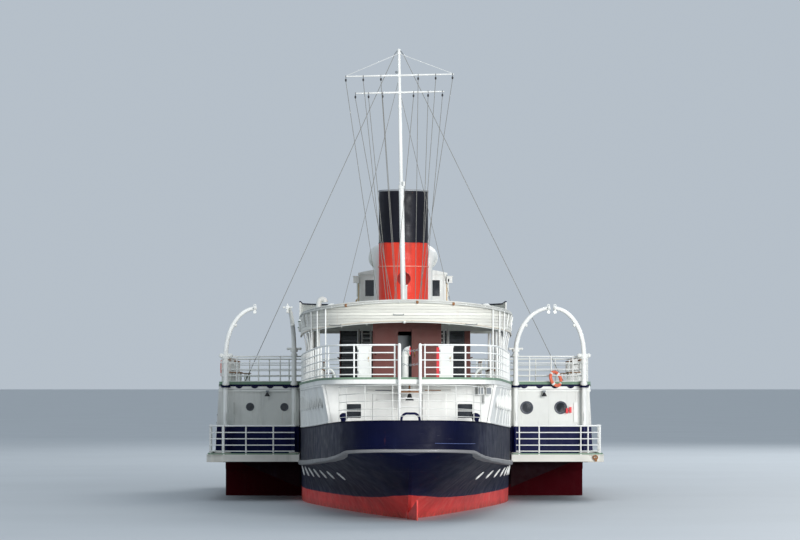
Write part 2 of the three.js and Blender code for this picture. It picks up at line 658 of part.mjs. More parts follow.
function buildRails() {
  const aftXs = PROMENADE_EDGE.map(({ x }) => x).filter((x) => x < BOX.aft - 0.2);
  const edge = sternFirst(aftXs, promHalf);
  const ends = (line) => [[-OVER_BOX.end, line[0][1]], ...line, [-OVER_BOX.end, line[line.length - 1][1]]];
  const whole = moved(ends(edge), -IN, false);
  const half = whole.length / 2;
  const gate = 0.34;
  const starboard = [...whole.slice(0, half), [whole[half][0], -gate]];
  const port = [[whole[half][0], gate], ...whole.slice(half)];
  for (const [name, line] of Object.entries({ port, starboard }))
    add(`promenade_rail_aft_${name}`, rail(line, promZ, RAIL_HIGH, BARS), PAINT.white);

  const foreXs = PROMENADE_EDGE.map(({ x }) => x).filter((x) => x > BOX.fore + 0.2);
  const fore = moved(bowFirst(foreXs, promHalf), -IN);
  const foreLine = [[OVER_BOX.end + 0.1, fore[0][1]], ...fore, [OVER_BOX.end + 0.1, fore[fore.length - 1][1]]];
  add("promenade_rail_fore", rail(foreLine, promZ, RAIL_HIGH, FEW_BARS, 3.2), PAINT.white);

  for (const [name, side] of Object.entries(SIDES)) {
    const [out, end] = [side * (OVER_BOX.half - IN), OVER_BOX.end - IN];
    const inner = side * (MIDSHIP_HALF - IN);
    const boxLine = [[-end, inner], [-end, out], [end, out], [end, inner]];
    const top = side > 0 ? boxLine : boxLine.reverse();
    add(`paddle_box_rail_${name}`, rail(top, promZ, RAIL_HIGH, BARS, 3.0), PAINT.white);
    const ground = () => SPONSON.top;
    const s = SPONSON;
    const rim = (sign) => [
      [sign * (s.fore - IN), side * 3.85],
      [sign * (s.fore - IN), side * (s.out - s.corner)],
      [sign * (s.fore - s.corner), side * (s.out - IN)],
      [sign * (BOX.fore + 0.06), side * (s.out - IN)],
    ];
    for (const [end, sign] of Object.entries({ aft: -1, fore: 1 })) {
      const line = rim(sign);
      const made = rail(sign * side < 0 ? line : line.reverse(), ground, RAIL_HIGH, BARS);
      add(`sponson_rail_${end}_${name}`, made, PAINT.white);
    }
  }

  const sternXs = stations.filter((x) => x < -26.9);
  const sternLine = moved(sternFirst(sternXs, hullHalf), -WALL / 2);
  add("stern_rail", rail(sternLine, bulwarkZ, 1.03, BARS, 1.05), PAINT.white);
}

// UPPER WORKS

const CAMBER = [-1, -0.8, -0.5, 0, 0.5, 0.8, 1];

const roofZ = (y, { crown, camber }) => crown - camber * y * y;

function cambered(x, half, shape) {
  const top = CAMBER.map((t) => [x, t * half, roofZ(t * half, shape)]);
  return [...top, ...top.map(([, y, z]) => [x, y, z - shape.skin]).reverse()];
}

const CANOPY_PLAN = [
  { x: -21.2, half: 0.9 },
  { x: -21.0, half: 1.75 },
  { x: -20.6, half: 2.35 },
  { x: -19.9, half: 2.8 },
  { x: -18.8, half: 3.13 },
  { x: -17.0, half: 3.34 },
  { x: -13.0, half: 3.54 },
  { x: -9.1, half: 3.64 },
];
const CANOPY_POSTS = [-18.6, -15.5, -12.3, -9.5];

function buildCanopy() {
  const half = (x) => along(CANOPY_PLAN, x, "half");
  const xs = CANOPY_PLAN.map(({ x }) => x);
  const roof = loft(xs.map((x) => cambered(x, half(x), CANOPY)));
  const outer = sternFirst(xs, half);
  const inner = moved(outer, -0.07);
  const skirt = loft(
    outer.map(([x, y], i) => {
      const z = roofZ(y, CANOPY) - 0.02;
      return [
        [...inner[i], z - CANOPY.skirt],
        [x, y, z - CANOPY.skirt],
        [x, y, z],
        [...inner[i], z],
      ];
    }),
  );
  const posts = CANOPY_POSTS.flatMap((x) =>
    [1, -1].map((side) => {
      const y = side * (Math.min(half(x), promHalf(x)) - 0.3);
      return rod([x, y, promZ(x - 0.05) + GAP], [x, y, roofZ(y, CANOPY) - 0.03], 0.045, 6);
    }),
  );
  add("canopy", join([roof, skirt, ...posts]), PAINT.white);
}

const ROOF_THICK = 0.14;

// Cuts windows in both sides of a cabin on the promenade deck.
function cutWindows(cabin, floor, xs) {
  const { low, high, long } = CABIN_WINDOW;
  return xs.reduce((left, x) => left.subtract(box(x, -3, floor + low, x + long, 3, floor + high)), cabin);
}

function buildDeckhouse() {
  const { aft, fore, half, top, doorHalf, doorHigh } = DECKHOUSE;
  const floor = promZ(aft) + GAP;
  const head = floor + doorHigh;
  const eaves = top - ROOF_THICK;
  let house = box(aft, -half, floor, fore, half, eaves - GAP);
  house = house.subtract(box(aft + WALL, -half + WALL, floor - 1, fore - WALL, half - WALL, top));
  house = house.subtract(box(aft - 1, -doorHalf, floor - 1, aft + 1, doorHalf, head));
  house = cutWindows(house, floor, DECKHOUSE_WINDOWS);
  // The door slides on a bar over the opening and along a sill bar.
  const [inside, outside] = [aft - DOOR.off, aft - DOOR.off - DOOR.thick];
  const [track, edge] = [3.1 * doorHalf, 0.02];
  const sill = box(aft + edge, -track, floor, outside - edge, track, floor + 0.05);
  const bar = box(aft + edge, -track, head + 0.1, outside - edge, track, head + 0.16);
  add("deckhouse", house.add(join([sill, bar])), PAINT.brown);
  const roof = (x) => [
    [x, -half, eaves],
    [x, half, eaves],
    [x, half, eaves + ROOF_THICK / 2],
    [x, 0, top],
    [x, -half, eaves + ROOF_THICK / 2],
  ];
  add("deckhouse_roof", loft([roof(aft), roof(fore)]), PAINT.brown);
  const shift = DOOR.ajar; // from fully open
  const [near, far] = [shift + DOOR.lap - doorHalf - 0.1, shift - DOOR.lap - 3 * doorHalf];
  add("deckhouse_door", box(inside, far, floor + 0.05 + GAP, outside, near, head + 0.1 - GAP), PAINT.brown);
}

const BRIDGE_PLAN = [
  { x: -9.0, half: MIDSHIP_HALF },
  { x: 3.6, half: MIDSHIP_HALF },
  { x: 3.9, half: 4.03 },
  { x: 7.6, half: 4.03 },
  { x: 8.6, half: 3.6 },
  { x: 9.6, half: 2.4 },
];
const BRIDGE_POSTS = { xs: [-8.6, -4.5, -0.5, 3.5, 7.6], y: 3.4, radius: 0.045 };

function buildBridgeDeck() {
  const { deck, thick } = BRIDGE;
  const slab = loft(
    BRIDGE_PLAN.map(({ x, half }) => [
      [x, half, deck],
      [x, half, deck - thick],
      [x, -half, deck - thick],
      [x, -half, deck],
    ]),
  );
  const { xs, y, radius } = BRIDGE_POSTS;
  const posts = xs.flatMap((x) =>
    [y, -y].map((at) => rod([x, at, promZ(x + radius) + 2 * GAP], [x, at, deck - 0.02], radius, 6)),
  );
  add("bridge_deck", join([slab, ...posts]), PAINT.deck);
}

function buildCasing() {
  const { aft, fore, half } = CASING;
  const floor = Math.max(promZ(fore), promZ(aft)) + GAP;
  const roof = BRIDGE.deck - BRIDGE.thick - GAP;
  let casing = box(aft, -half, floor, fore, half, roof);
  casing = casing.subtract(box(aft + WALL, -half + WALL, floor - 1, fore - WALL, half - WALL, roof + 1));
  casing = cutWindows(casing, floor, CASING_WINDOWS);
  const { near, far } = CASING_END_WINDOW;
  const { low, high } = CABIN_WINDOW;
  for (const side of [1, -1])
    casing = casing.subtract(box(aft - 1, side * near, floor + low, aft + 1, side * far, floor + high));
  add("casing", casing, PAINT.brown);
}

const DODGER = { top: 7.24, thick: 0.06 };
const DODGER_PLAN = [
  { x: 3.95, half: 3.97 },
  { x: 7.58, half: 3.97 },
  { x: 8.55, half: 3.55 },
  { x: 9.5, half: 2.35 },
];

function buildDodger() {
  const floor = () => BRIDGE.deck + GAP;
  const top = () => DODGER.top;
  const line = bowFirst(DODGER_PLAN.map(({ x }) => x), (x) => along(DODGER_PLAN, x, "half"));
  add("bridge_dodger", sweep(line, bandProfile(-DODGER.thick, 0, floor, top)), PAINT.white);
}

function buildWheelhouse() {
  const { aft, fore, half, top } = WHEELHOUSE;
  const floor = BRIDGE.deck + GAP;
  let house = box(aft, -half, floor, fore, half, top);
  house = house.subtract(box(aft + WALL, -half + WALL, floor - 1, fore - WALL, half - WALL, top + 1));
  const glass = WHEELHOUSE_WINDOW;
  const [sill, head] = [floor + glass.low, floor + glass.high];
  for (const side of [1, -1])
    house = house.subtract(box(aft - 1, side * glass.near, sill, aft + 0.5, side * glass.far, head));
  for (const y of [-1.5, -0.88, -0.26, 0.36, 0.98])
    house = house.subtract(box(fore - 0.5, y, sill, fore + 1, y + 0.52, head));
  house = house.subtract(box(fore - 0.95, -2, sill, fore - 0.2, 2, head));
  const door = WHEELHOUSE_DOOR;
  house = house.subtract(box(aft + door.aft, -2, floor - 1, aft + door.fore, 2, floor + door.high));
  add("wheelhouse", house, PAINT.white);
  for (const [name, side] of Object.entries(SIDES)) {
    const [low, high] = [floor + 0.03, floor + door.high + DOOR.lap];
    const [x0, x1] = [aft + door.aft - DOOR.lap, aft + door.fore + DOOR.lap];
    const leaf = box(x0, side * (half + DOOR.off), low, x1, side * (half + DOOR.off + DOOR.thick), high);
    const pin = [x0, side * (half + DOOR.knuckle + GAP)];
    add(`wheelhouse_door_${name}`, leaf.add(rod([...pin, low], [...pin, high], DOOR.knuckle, 8)), PAINT.brown);
  }
}

function buildWheelhouseRoof() {
  const { aft, fore, half, top } = WHEELHOUSE;
  const roof = WHEELHOUSE_ROOF;
  const out = half + roof.out;
  const section = (x) => [
    ...CAMBER.map((t) => [x, t * out, roofZ(t * out, roof)]),
    [x, out, top + GAP],
    [x, -out, top + GAP],
  ];
  add("wheelhouse_roof", loft([section(aft - roof.aft), section(fore + roof.fore)]), PAINT.white);
}

// A cowl ventilator: a pipe under a bell that opens along heading, in degrees from the bow round by port.
function cowl({ x, y, low, z, head, pipe, heading }) {
  const [c, s] = [Math.cos((heading * Math.PI) / 180), Math.sin((heading * Math.PI) / 180)];
  const at = (r) => [x + c * r * head, y + s * r * head, z];
  const bell = rod(at(-0.7), at(0.95), head * 0.6, 12, head);
  const back = solid(new THREE.SphereGeometry(head * M, 12, 8).translate(x * M, y * M, z * M));
  const mouth = rod(at(0.1), at(1.05), head * 0.62, 12, head * 0.95);
  return join([rod([x, y, low], [x, y, z], pipe, 12), back, bell]).subtract(mouth);
}

function buildFunnel() {
  const { x, radius, top, wall, seam } = FUNNEL;
  const floor = BRIDGE.deck + GAP;
  const outside = [
    [radius, floor],
    [radius, seam],
    [radius + 0.02, seam + 0.01],
    [radius + 0.02, seam + 0.05],
    [radius, seam + 0.06],
    [radius, top - 0.08],
    [radius + 0.03, top - 0.07],
    [radius + 0.03, top],
    [radius - wall, top],
    [radius - wall, floor],
    [radius, floor],
  ];
  add("funnel", turned(outside, x, 0, 32), PAINT.red);
  for (const { name, ...sizes } of COWLS) {
    const low = name === "cowl_promenade" ? promZ(sizes.x - sizes.pipe) + GAP : floor;
    add(name, cowl({ low, ...sizes }), PAINT.white);
  }
}

function buildMast() {
  const { x, join: step, top, radius, topRadius, footY, topY } = MAST;
  const foot = BRIDGE.deck + 2 * GAP;
  // The mast leans a little to port.
  const lean = (z) => footY + ((topY - footY) * (z - foot)) / (top - foot);
  const parts = [
    rod([x, lean(foot), foot], [x, lean(step), step], radius, 10),
    rod([x, lean(step - 0.05), step - 0.05], [x, topY, top], radius, 10, topRadius),
  ];
  for (const { z, half } of YARDS) {
    const y = lean(z);
    parts.push(rod([x - YARD.aft, y - half, z], [x - YARD.aft, y + half, z], YARD.radius, 6));
  }
  for (const side of [1, -1]) {
    const end = [STAYS.x, side * STAYS.foot, promZ(STAYS.x) + 0.02];
    parts.push(rod([x, lean(STAYS.high), STAYS.high], end, STAYS.radius, 4));
  }
  add("mast", join(parts), PAINT.white);
}

function buildDavits() {
  const { x, bend, rise, radius } = DAVIT;
  for (const { name, y, reach, heading } of DAVITS) {
    const post = rod([x, y, SPONSON.top + GAP], [x, y, bend + 0.01], radius, 10);
    const [c, s] = [Math.cos((heading * Math.PI) / 180), Math.sin((heading * Math.PI) / 180)];
    const turn = Array.from({ length: 7 }, (_, i) => {
      const angle = (i / 6) * 0.5 * Math.PI;
      const out = reach * (1 - Math.cos(angle));
      return [x + c * out, y + s * out, bend + rise * Math.sin(angle)];
    });
    add(name, post.add(bent(turn, radius, 10, 10)), PAINT.white);
  }
}

function buildForedeck() {
  const { x, half, drum } = WINDLASS;
  const floor = deckZ(x + 0.5) + GAP;
  const axle = floor + 0.62;
  const reach = half + 0.35;
  const cheeks = [-half, half].map((y) =>
    loft(
      [y - 0.05, y + 0.05].map((at) => [
        [x - 0.5, at, floor],
        [x + 0.5, at, floor],
        [x + 0.16, at, axle + 0.2],
        [x - 0.16, at, axle + 0.2],
      ]),
    ),
  );
  const parts = [
    ...cheeks,
    rod([x, -reach, axle], [x, reach, axle], 0.08, 10),
    rod([x, -half + 0.1, axle], [x, half - 0.1, axle], drum, 12),
    ...[-1, 1].map((side) => rod([x, side * (half + 0.08), axle], [x, side * reach, axle], drum * 0.7, 12)),
    box(x - 0.5, -half - 0.1, floor, x + 0.5, half + 0.1, floor + 0.08),
  ];
  add("windlass", join(parts), PAINT.navy);
  const hatch = HATCH;
  const foot = deckZ(hatch.x + hatch.long / 2) + GAP;
  const [x0, x1] = [hatch.x - hatch.long / 2, hatch.x + hatch.long / 2];
  const coaming = box(x0, -hatch.half, foot, x1, hatch.half, foot + 0.6);
  const lid = (at, out) => [
    [at, -hatch.half - out, foot + 0.6],
    [at, 0, foot + 0.85],
    [at, hatch.half + out, foot + 0.6],
    [at, hatch.half + out, foot + 0.56],
    [at, -hatch.half - out, foot + 0.56],
  ];
  add("fore_hatch", coaming.add(loft([lid(x0 - 0.06, 0.06), lid(x1 + 0.06, 0.06)])), PAINT.brown);
}

function buildLadder() {
  const { x, half, rungs, pitch } = LADDER;
  const foot = deckZ(x - 0.03) + GAP;
  const stringers = [-half, half].map((y) =>
    box(x - 0.03, y - 0.04, foot, x + 0.03, y + 0.04, promZ(x) + RAIL_HIGH),
  );
  const steps = Array.from({ length: rungs }, (_, i) => {
    const z = deckZ(x) + pitch * (i + 1);
    return rod([x, -half, z], [x, half, z], 0.018, 6);
  });
  add("stern_ladder", join([...stringers, ...steps]), PAINT.white);
}

function buildFittings() {
  for (const [name, side] of Object.entries(SIDES)) {
    const { aft, fore, half, high, port, starboard } = LOCKER;
    const y = side > 0 ? port : starboard;
    const foot = promZ(aft);
    add(`locker_${name}`, box(aft, y - half, foot + GAP, fore, y + half, foot + high), PAINT.white);
    const { x, long, spread, radius, top } = BOLLARD;
    const at = side * BOLLARD.y;
    const floor = deckZ(x - long) + GAP;
    const base = box(x - long, at - 0.11, floor, x + long, at + 0.11, floor + 0.08);
    const post = (px) => rod([px, at, floor + 0.02], [px, at, floor + top], radius, 10);
    const posts = [post(x - spread), post(x + spread)];
    add(`bollard_${name}`, join([base, ...posts]), PAINT.navy);
  }
}

buildHull();
buildRudder();
buildStrakes();
buildBulwarks();
buildSaloon();
buildPromenadeDeck();
buildSponsons();
buildPaddleBoxes();
buildWheelGuards();
buildWheels();
buildRails();
buildCanopy();
buildDeckhouse();
buildBridgeDeck();
buildCasing();
buildDodger();
buildWheelhouse();
buildWheelhouseRoof();
buildFunnel();
buildMast();
buildDavits();
buildForedeck();
buildLadder();
buildFittings();

export default ship;
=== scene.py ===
"""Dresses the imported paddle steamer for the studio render.

Sizes are metres of the full-size ship. K turns them into metres of the 1:2 model.
Frame: origin on the waterline amidships, +X to the bow, +Y to port, +Z up.
"""
import json
import math

import bmesh
import bpy
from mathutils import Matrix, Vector

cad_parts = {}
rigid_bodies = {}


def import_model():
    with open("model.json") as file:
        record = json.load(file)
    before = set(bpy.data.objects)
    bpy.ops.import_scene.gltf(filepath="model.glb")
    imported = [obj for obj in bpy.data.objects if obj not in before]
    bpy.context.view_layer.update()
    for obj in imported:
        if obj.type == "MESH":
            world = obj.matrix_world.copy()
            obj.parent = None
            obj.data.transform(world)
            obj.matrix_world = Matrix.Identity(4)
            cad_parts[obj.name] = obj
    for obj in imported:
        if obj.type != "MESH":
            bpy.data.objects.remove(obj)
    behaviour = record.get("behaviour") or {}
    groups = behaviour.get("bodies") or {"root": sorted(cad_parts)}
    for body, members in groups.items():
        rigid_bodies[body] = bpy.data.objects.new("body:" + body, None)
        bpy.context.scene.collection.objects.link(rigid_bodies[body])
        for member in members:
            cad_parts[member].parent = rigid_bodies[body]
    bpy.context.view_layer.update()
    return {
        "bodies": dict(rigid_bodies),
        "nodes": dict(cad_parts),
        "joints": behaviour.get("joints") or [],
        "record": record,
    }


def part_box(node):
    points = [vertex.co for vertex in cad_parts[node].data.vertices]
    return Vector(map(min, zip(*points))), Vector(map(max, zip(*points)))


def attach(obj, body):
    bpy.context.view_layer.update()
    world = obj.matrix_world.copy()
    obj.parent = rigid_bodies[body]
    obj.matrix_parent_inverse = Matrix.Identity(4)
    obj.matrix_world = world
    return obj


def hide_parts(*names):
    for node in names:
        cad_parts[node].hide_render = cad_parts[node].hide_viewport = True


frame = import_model()

K = 0.5
GAP = 0.001
SIDES = (("port", 1), ("starboard", -1))
AFT, FORE, UP = (-1, 0, 0), (1, 0, 0), (0, 0, 1)

# Hull stations: x, half-breadth at the deck, half-breadth at the waterline, bottom, flare.
HULL_LINES = [
    (-29.7, 0.5, 0.0, 1.95, 0.8), (-29.5, 1.1, 0.0, 1.78, 0.8), (-29.1, 1.55, 0.0, 1.5, 0.85),
    (-28.4, 1.92, 0.0, 1.1, 0.95), (-27.6, 2.14, 0.0, 0.65, 1.05), (-26.9, 2.27, 0.0, 0.25, 1.15),
    (-26.2, 2.36, 0.1, -0.12, 1.3), (-24.5, 2.55, 0.65, -0.5, 1.5), (-22.5, 2.74, 1.12, -0.75, 1.6),
    (-20.0, 2.96, 1.7, -0.9, 1.7), (-17.0, 3.2, 2.32, -0.95, 1.8), (-13.4, 3.44, 3.0, -0.95, 2.0),
    (-10.0, 3.6, 3.48, -0.95, 2.0), (-6.0, 3.69, 3.66, -0.95, 2.0), (0.0, 3.69, 3.68, -0.95, 2.0),
    (7.0, 3.69, 3.6, -0.95, 2.0), (12.0, 3.62, 3.2, -0.95, 1.9), (17.0, 3.3, 2.5, -0.95, 1.8),
    (21.0, 2.75, 1.8, -0.95, 1.7), (24.5, 1.98, 1.05, -0.95, 1.6), (27.2, 1.15, 0.42, -0.9, 1.5),
    (28.8, 0.55, 0.12, -0.6, 1.4), (29.3, 0.32, 0.07, -0.2, 1.2), (29.7, 0.16, 0.05, 0.6, 1.0),
]
END_X = 29.7
DECK_EDGE = 0.2
WALL = 0.08
# x and half-breadth of the promenade deck's edge, and of the canopy's.
PROMENADE_EDGE = [
    (-27.3, 1.0), (-27.15, 1.75), (-26.85, 2.2), (-26.3, 2.5), (-25.4, 2.72), (-23.5, 2.9),
    (-20.0, 3.16), (-15.0, 3.46), (-10.0, 3.66), (-6.4, 3.74), (6.4, 3.74), (12.0, 3.68),
    (16.0, 3.42), (17.8, 3.15), (18.4, 2.7), (18.7, 1.7),
]
CANOPY_PLAN = [
    (-21.2, 0.9), (-21.0, 1.75), (-20.6, 2.35), (-19.9, 2.8), (-18.8, 3.13), (-17.0, 3.34),
    (-13.0, 3.54), (-9.1, 3.64),
]
CANOPY_CROWN, CANOPY_CAMBER, CANOPY_SKIRT = 6.7, 0.026, 0.66
BRIDGE_DECK = 6.24
OVER_BOX = (6.56, 6.58)  # half length and half width of the deck over the paddle boxes
BOX_END, BOX_OUT = 6.5, 6.5


def along(table, x, column=1):
    """A column at x, on straight lines between the rows of a table."""
    if x <= table[0][0]:
        return table[0][column]
    for a, b in zip(table, table[1:]):
        if x <= b[0]:
            t = (x - a[0]) / (b[0] - a[0])
            return a[column] * (1 - t) + b[column] * t
    return table[-1][column]


def sheer(middle, stern, bow):
    """Height of a line at x: its height amidships, and what it rises to each end."""
    table = [(x, middle + (stern if x < 0 else bow) * (abs(x) / END_X) ** 2) for x, *_ in HULL_LINES]
    return lambda x: along(table, x)


strake_z = sheer(1.25, 0.79, 1.15)
bulwark_z = sheer(2.5, 0.48, 1.1)
prom_z = sheer(4.02, 0.22, 0.3)


def plus(height, extra):
    return lambda x: height(x) + extra


deck_z = plus(strake_z, DECK_EDGE)


def level(z):
    return lambda x: z


def prom_half(x):
    return along(PROMENADE_EDGE, x)


def roof_z(y):
    return CANOPY_CROWN - CANOPY_CAMBER * y * y


# Mesh parts are pairs of points and faces, in ship metres.


def box(lo, hi):
    points = [(x, y, z) for x in (lo[0], hi[0]) for y in (lo[1], hi[1]) for z in (lo[2], hi[2])]
    return points, [(0, 1, 3, 2), (4, 6, 7, 5), (0, 4, 5, 1), (2, 3, 7, 6), (0, 2, 6, 4), (1, 5, 7, 3)]


def loft(loops, ring=False, caps=True):
    n = len(loops[0])
    points = [p for loop in loops for p in loop]
    faces = []
    for s in range(len(loops) if ring else len(loops) - 1):
        a, b = s * n, (s + 1) % len(loops) * n
        faces += [(a + i, b + i, b + (i + 1) % n, a + (i + 1) % n) for i in range(n)]
    if caps and not ring:
        faces.append(tuple(range(n)))
        faces.append(tuple(reversed(range(len(points) - n, len(points)))))
    return points, faces


def turn_points(radius, sides, first=0, last=360):
    """Pairs on a circle or an arc. A full circle leaves out its last point."""
    count = sides if last - first == 360 else sides + 1
    turns = [math.radians(first + (last - first) * k / sides) for k in range(count)]
    return [(radius * math.cos(t), radius * math.sin(t)) for t in turns]


def frames_along(pts, closed=False):
    """A side and an up vector at each point of a path, turned as little as possible."""
    n = len(pts)
    dirs = []
    for i in range(n):
        a = pts[(i - 1) % n] if closed or i > 0 else pts[0]
        b = pts[(i + 1) % n] if closed or i < n - 1 else pts[-1]
        dirs.append((b - a).normalized())
    up = Vector(UP) if abs(dirs[0].z) < 0.9 else Vector(FORE)
    result = []
    for d in dirs:
        up = (up - d * up.dot(d)).normalized()
        result.append((d.cross(up), up))
    return result


def tube(path, radius, sides=8, closed=False, caps=True):
    """A round bar along a path. radius is one number or one for each point."""
    pts = [Vector(p) for p in path]
    radii = radius if isinstance(radius, list) else [radius] * len(pts)
    loops = [
        [p + side * (c * r) + up * (s * r) for c, s in turn_points(1, sides)]
        for p, (side, up), r in zip(pts, frames_along(pts, closed), radii)
    ]
    return loft(loops, closed, caps)


def post(x, y, low, high, radius, sides=8):
    return tube([(x, y, low), (x, y, high)], radius, sides)


def lathe(profile, centre, axis=UP, sides=32):
    """A ring turned about an axis. The profile is pairs of radius and height along the axis."""
    rot = Vector(UP).rotation_difference(Vector(axis)).to_matrix()
    centre = Vector(centre)
    turns = turn_points(1, sides)
    return loft([[rot @ Vector((r * c, r * s, z)) + centre for r, z in profile] for c, s in turns], ring=True)


def turned(profile, centre, axis=UP, sides=20):
    """A solid turned about an axis, which closes the profile's ends on the axis."""
    return lathe([(0.001, profile[0][1]), *profile, (0.001, profile[-1][1])], centre, axis, sides)


def collar(inner, outer, low, high, centre, axis=UP, sides=18):
    return lathe([(inner, low), (outer, low), (outer, high), (inner, high)], centre, axis, sides)


def ball(centre, radius, sides=12, squash=(1, 1, 1)):
    rows = sides // 2
    turns = [math.pi * i / rows for i in range(rows + 1)]
    profile = [(max(radius * math.sin(t), 0.0005), -radius * math.cos(t)) for t in turns]
    points, faces = lathe(profile, (0, 0, 0), sides=sides)
    return [tuple(c + p * s for c, p, s in zip(centre, point, squash)) for point in points], faces


def ring(centre, radius, thick, axis=UP, sides=24, section=8):
    """A round ring of round bar."""
    rot = Vector(UP).rotation_difference(Vector(axis)).to_matrix()
    path = [rot @ Vector((*p, 0)) + Vector(centre) for p in turn_points(radius, sides)]
    return tube(path, thick, section, closed=True)


def mirrored(part):
    points, faces = part
    return [(x, -y, z) for x, y, z in points], [tuple(reversed(f)) for f in faces]


class Piece:
    """The parts of one visible mesh, each with its material."""

    def __init__(self):
        self.parts, self.mats = [], []

    def add(self, mat, *parts):
        self.parts += parts
        self.mats += [mat] * len(parts)
        return self

    def take(self, other):
        self.parts += other.parts
        self.mats += other.mats

    def make(self, name, body="ship", replaces=(), sharp=35):
        """Builds the mesh, which rides on a body. It may stand for nodes of the CAD model."""
        points, faces, slots = [], [], []
        order = list(dict.fromkeys(self.mats))
        for part, mat in zip(self.parts, self.mats):
            base = len(points)
            points += part[0]
            faces += [tuple(base + i for i in f) for f in part[1]]
            slots += [order.index(mat)] * len(part[1])
        mesh = bpy.data.meshes.new(name)
        mesh.from_pydata([tuple(c * K for c in p) for p in points], [], faces)
        for mat in order:
            mesh.materials.append(mat)
        mesh.polygons.foreach_set("material_index", slots)
        mesh.polygons.foreach_set("use_smooth", [True] * len(faces))
        mesh.update()
        bm = bmesh.new()
        bm.from_mesh(mesh)
        bmesh.ops.recalc_face_normals(bm, faces=bm.faces)
        bm.to_mesh(mesh)
        bm.free()
        mesh.set_sharp_from_angle(angle=math.radians(sharp))
        obj = bpy.data.objects.new(name, mesh)
        bpy.context.scene.collection.objects.link(obj)
        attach(obj, body)
        if replaces:
            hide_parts(*replaces)


# Curves


def spline(points, per=6):
    """Points on a smooth curve through the given points, by centripetal Catmull-Rom."""
    pts = [Vector(p) for p in points]
    n = len(pts)
    out = []
    for i in range(n - 1):
        p1, p2 = pts[i], pts[i + 1]
        p0 = pts[i - 1] if i > 0 else p1 * 2 - p2
        p3 = pts[i + 2] if i + 2 < n else p2 * 2 - p1
        d = [max((b - a).length, 1e-6) ** 0.5 for a, b in ((p0, p1), (p1, p2), (p2, p3))]
        m1 = ((p1 - p0) / d[0] - (p2 - p0) / (d[0] + d[1]) + (p2 - p1) / d[1]) * d[1]
        m2 = ((p2 - p1) / d[1] - (p3 - p1) / (d[1] + d[2]) + (p3 - p2) / d[2]) * d[1]
        for k in range(per):
            t = k / per
            start = p1 * (2 * t**3 - 3 * t**2 + 1) + m1 * (t**3 - 2 * t**2 + t)
            out.append(tuple(start + p2 * (-2 * t**3 + 3 * t**2) + m2 * (t**3 - t**2)))
    out.append(tuple(pts[-1]))
    return out


def smooth_loops(loops, per):
    """Loops joined by a smooth curve through each set of matching points."""
    return list(zip(*[spline([loop[i] for loop in loops], per) for i in range(len(loops[0]))]))


def around_stern(table, last=None, per=6):
    """The plan line of a table from starboard forward, round the stern, to port forward, at sea level."""
    rows = [row for row in table if last is None or row[0] <= last]
    if last is not None and rows[-1][0] < last:
        rows.append((last, along(table, last)))
    port = [(x, half, 0) for x, half, *_ in rows]
    return spline([(x, -half, 0) for x, half, _ in reversed(port)] + port, per)


def around_bow(table, first, per=6):
    rows = [(first, along(table, first))] + [row for row in table if row[0] > first]
    port = [(x, half, 0) for x, half, *_ in rows]
    return spline(port + [(x, -half, 0) for x, half, _ in reversed(port)], per)


def moved(line, out):
    """A plan line moved to its left, which is outboard."""
    result = []
    for i, p in enumerate(line):
        a, b = line[max(i - 1, 0)], line[min(i + 1, len(line) - 1)]
        length = math.hypot(b[0] - a[0], b[1] - a[1])
        result.append((p[0] - (b[1] - a[1]) / length * out, p[1] + (b[0] - a[0]) / length * out, 0))
    return result


def sweep(line, base, profile):
    """A profile of (outboard distance, height over base) carried along a plan line.
    A height may also be a function of x."""
    lines = [moved(line, out) for out, _ in profile]
    rises = [up if callable(up) else plus(base, up) for _, up in profile]
    return loft([[(x, y, rise(x)) for (x, y, _), rise in zip(section, rises)] for section in zip(*lines)])


def band(near, far, low, high):
    """A box's profile for sweep."""
    return [(near, low), (far, low), (far, high), (near, high)]


def lift(line, height):
    return [(x, y, height(x)) for x, y, *_ in line]


def spaced(line, pitch, ends=True):
    """Points along a line at even spacing, with the direction of the line there."""
    pts = [Vector(p) for p in line]
    lengths = [(b - a).length for a, b in zip(pts, pts[1:])]
    total = sum(lengths)
    count = max(1, round(total / pitch))
    result = []
    for k in range(count + 1 if ends else count):
        left = total * (k if ends else k + 0.5) / count
        i = 0
        while i < len(lengths) - 1 and left > lengths[i]:
            left -= lengths[i]
            i += 1
        t = min(1.0, left / lengths[i])
        result.append((pts[i].lerp(pts[i + 1], t), (pts[i + 1] - pts[i]).normalized()))
    return result


def rounded(points, radius, steps=6):
    """A plan line with its corners rounded."""
    out = [points[0]]
    for a, b, c in zip(points, points[1:], points[2:]):
        a, b, c = Vector(a), Vector(b), Vector(c)
        r = min(radius, (a - b).length * 0.49, (c - b).length * 0.49)
        p, q = b + (a - b).normalized() * r, b + (c - b).normalized() * r
        for k in range(steps + 1):
            t = k / steps
            out.append(tuple(p * (1 - t) ** 2 + b * (2 * t * (1 - t)) + q * t * t))
    out.append(points[-1])
    return out


def at_y(line, y):
    """Where a plan line that goes round the stern crosses a distance to port."""
    for a, b in zip(line, line[1:]):
        if a[1] <= y <= b[1]:
            return Vector(a).lerp(Vector(b), (y - a[1]) / (b[1] - a[1]))
    return Vector(line[0] if y < 0 else line[-1])


def slab(line, top, thick, inset=0.0):
    """A deck between mirrored edges, a thickness down from top."""
    loops = []
    for x, y in line:
        y, high, low = max(y - inset, 0.02), top(x), top(x) - thick
        loops.append([(x, y, high), (x, y, low), (x, -y, low), (x, -y, high)])
    return loft(loops)


# Materials


def linear(rgb):
    """A colour of 0 to 255 as linear light."""
    values = [c / 255 for c in rgb]
    return tuple(c / 12.92 if c <= 0.04045 else ((c + 0.055) / 1.055) ** 2.4 for c in values) + (1,)


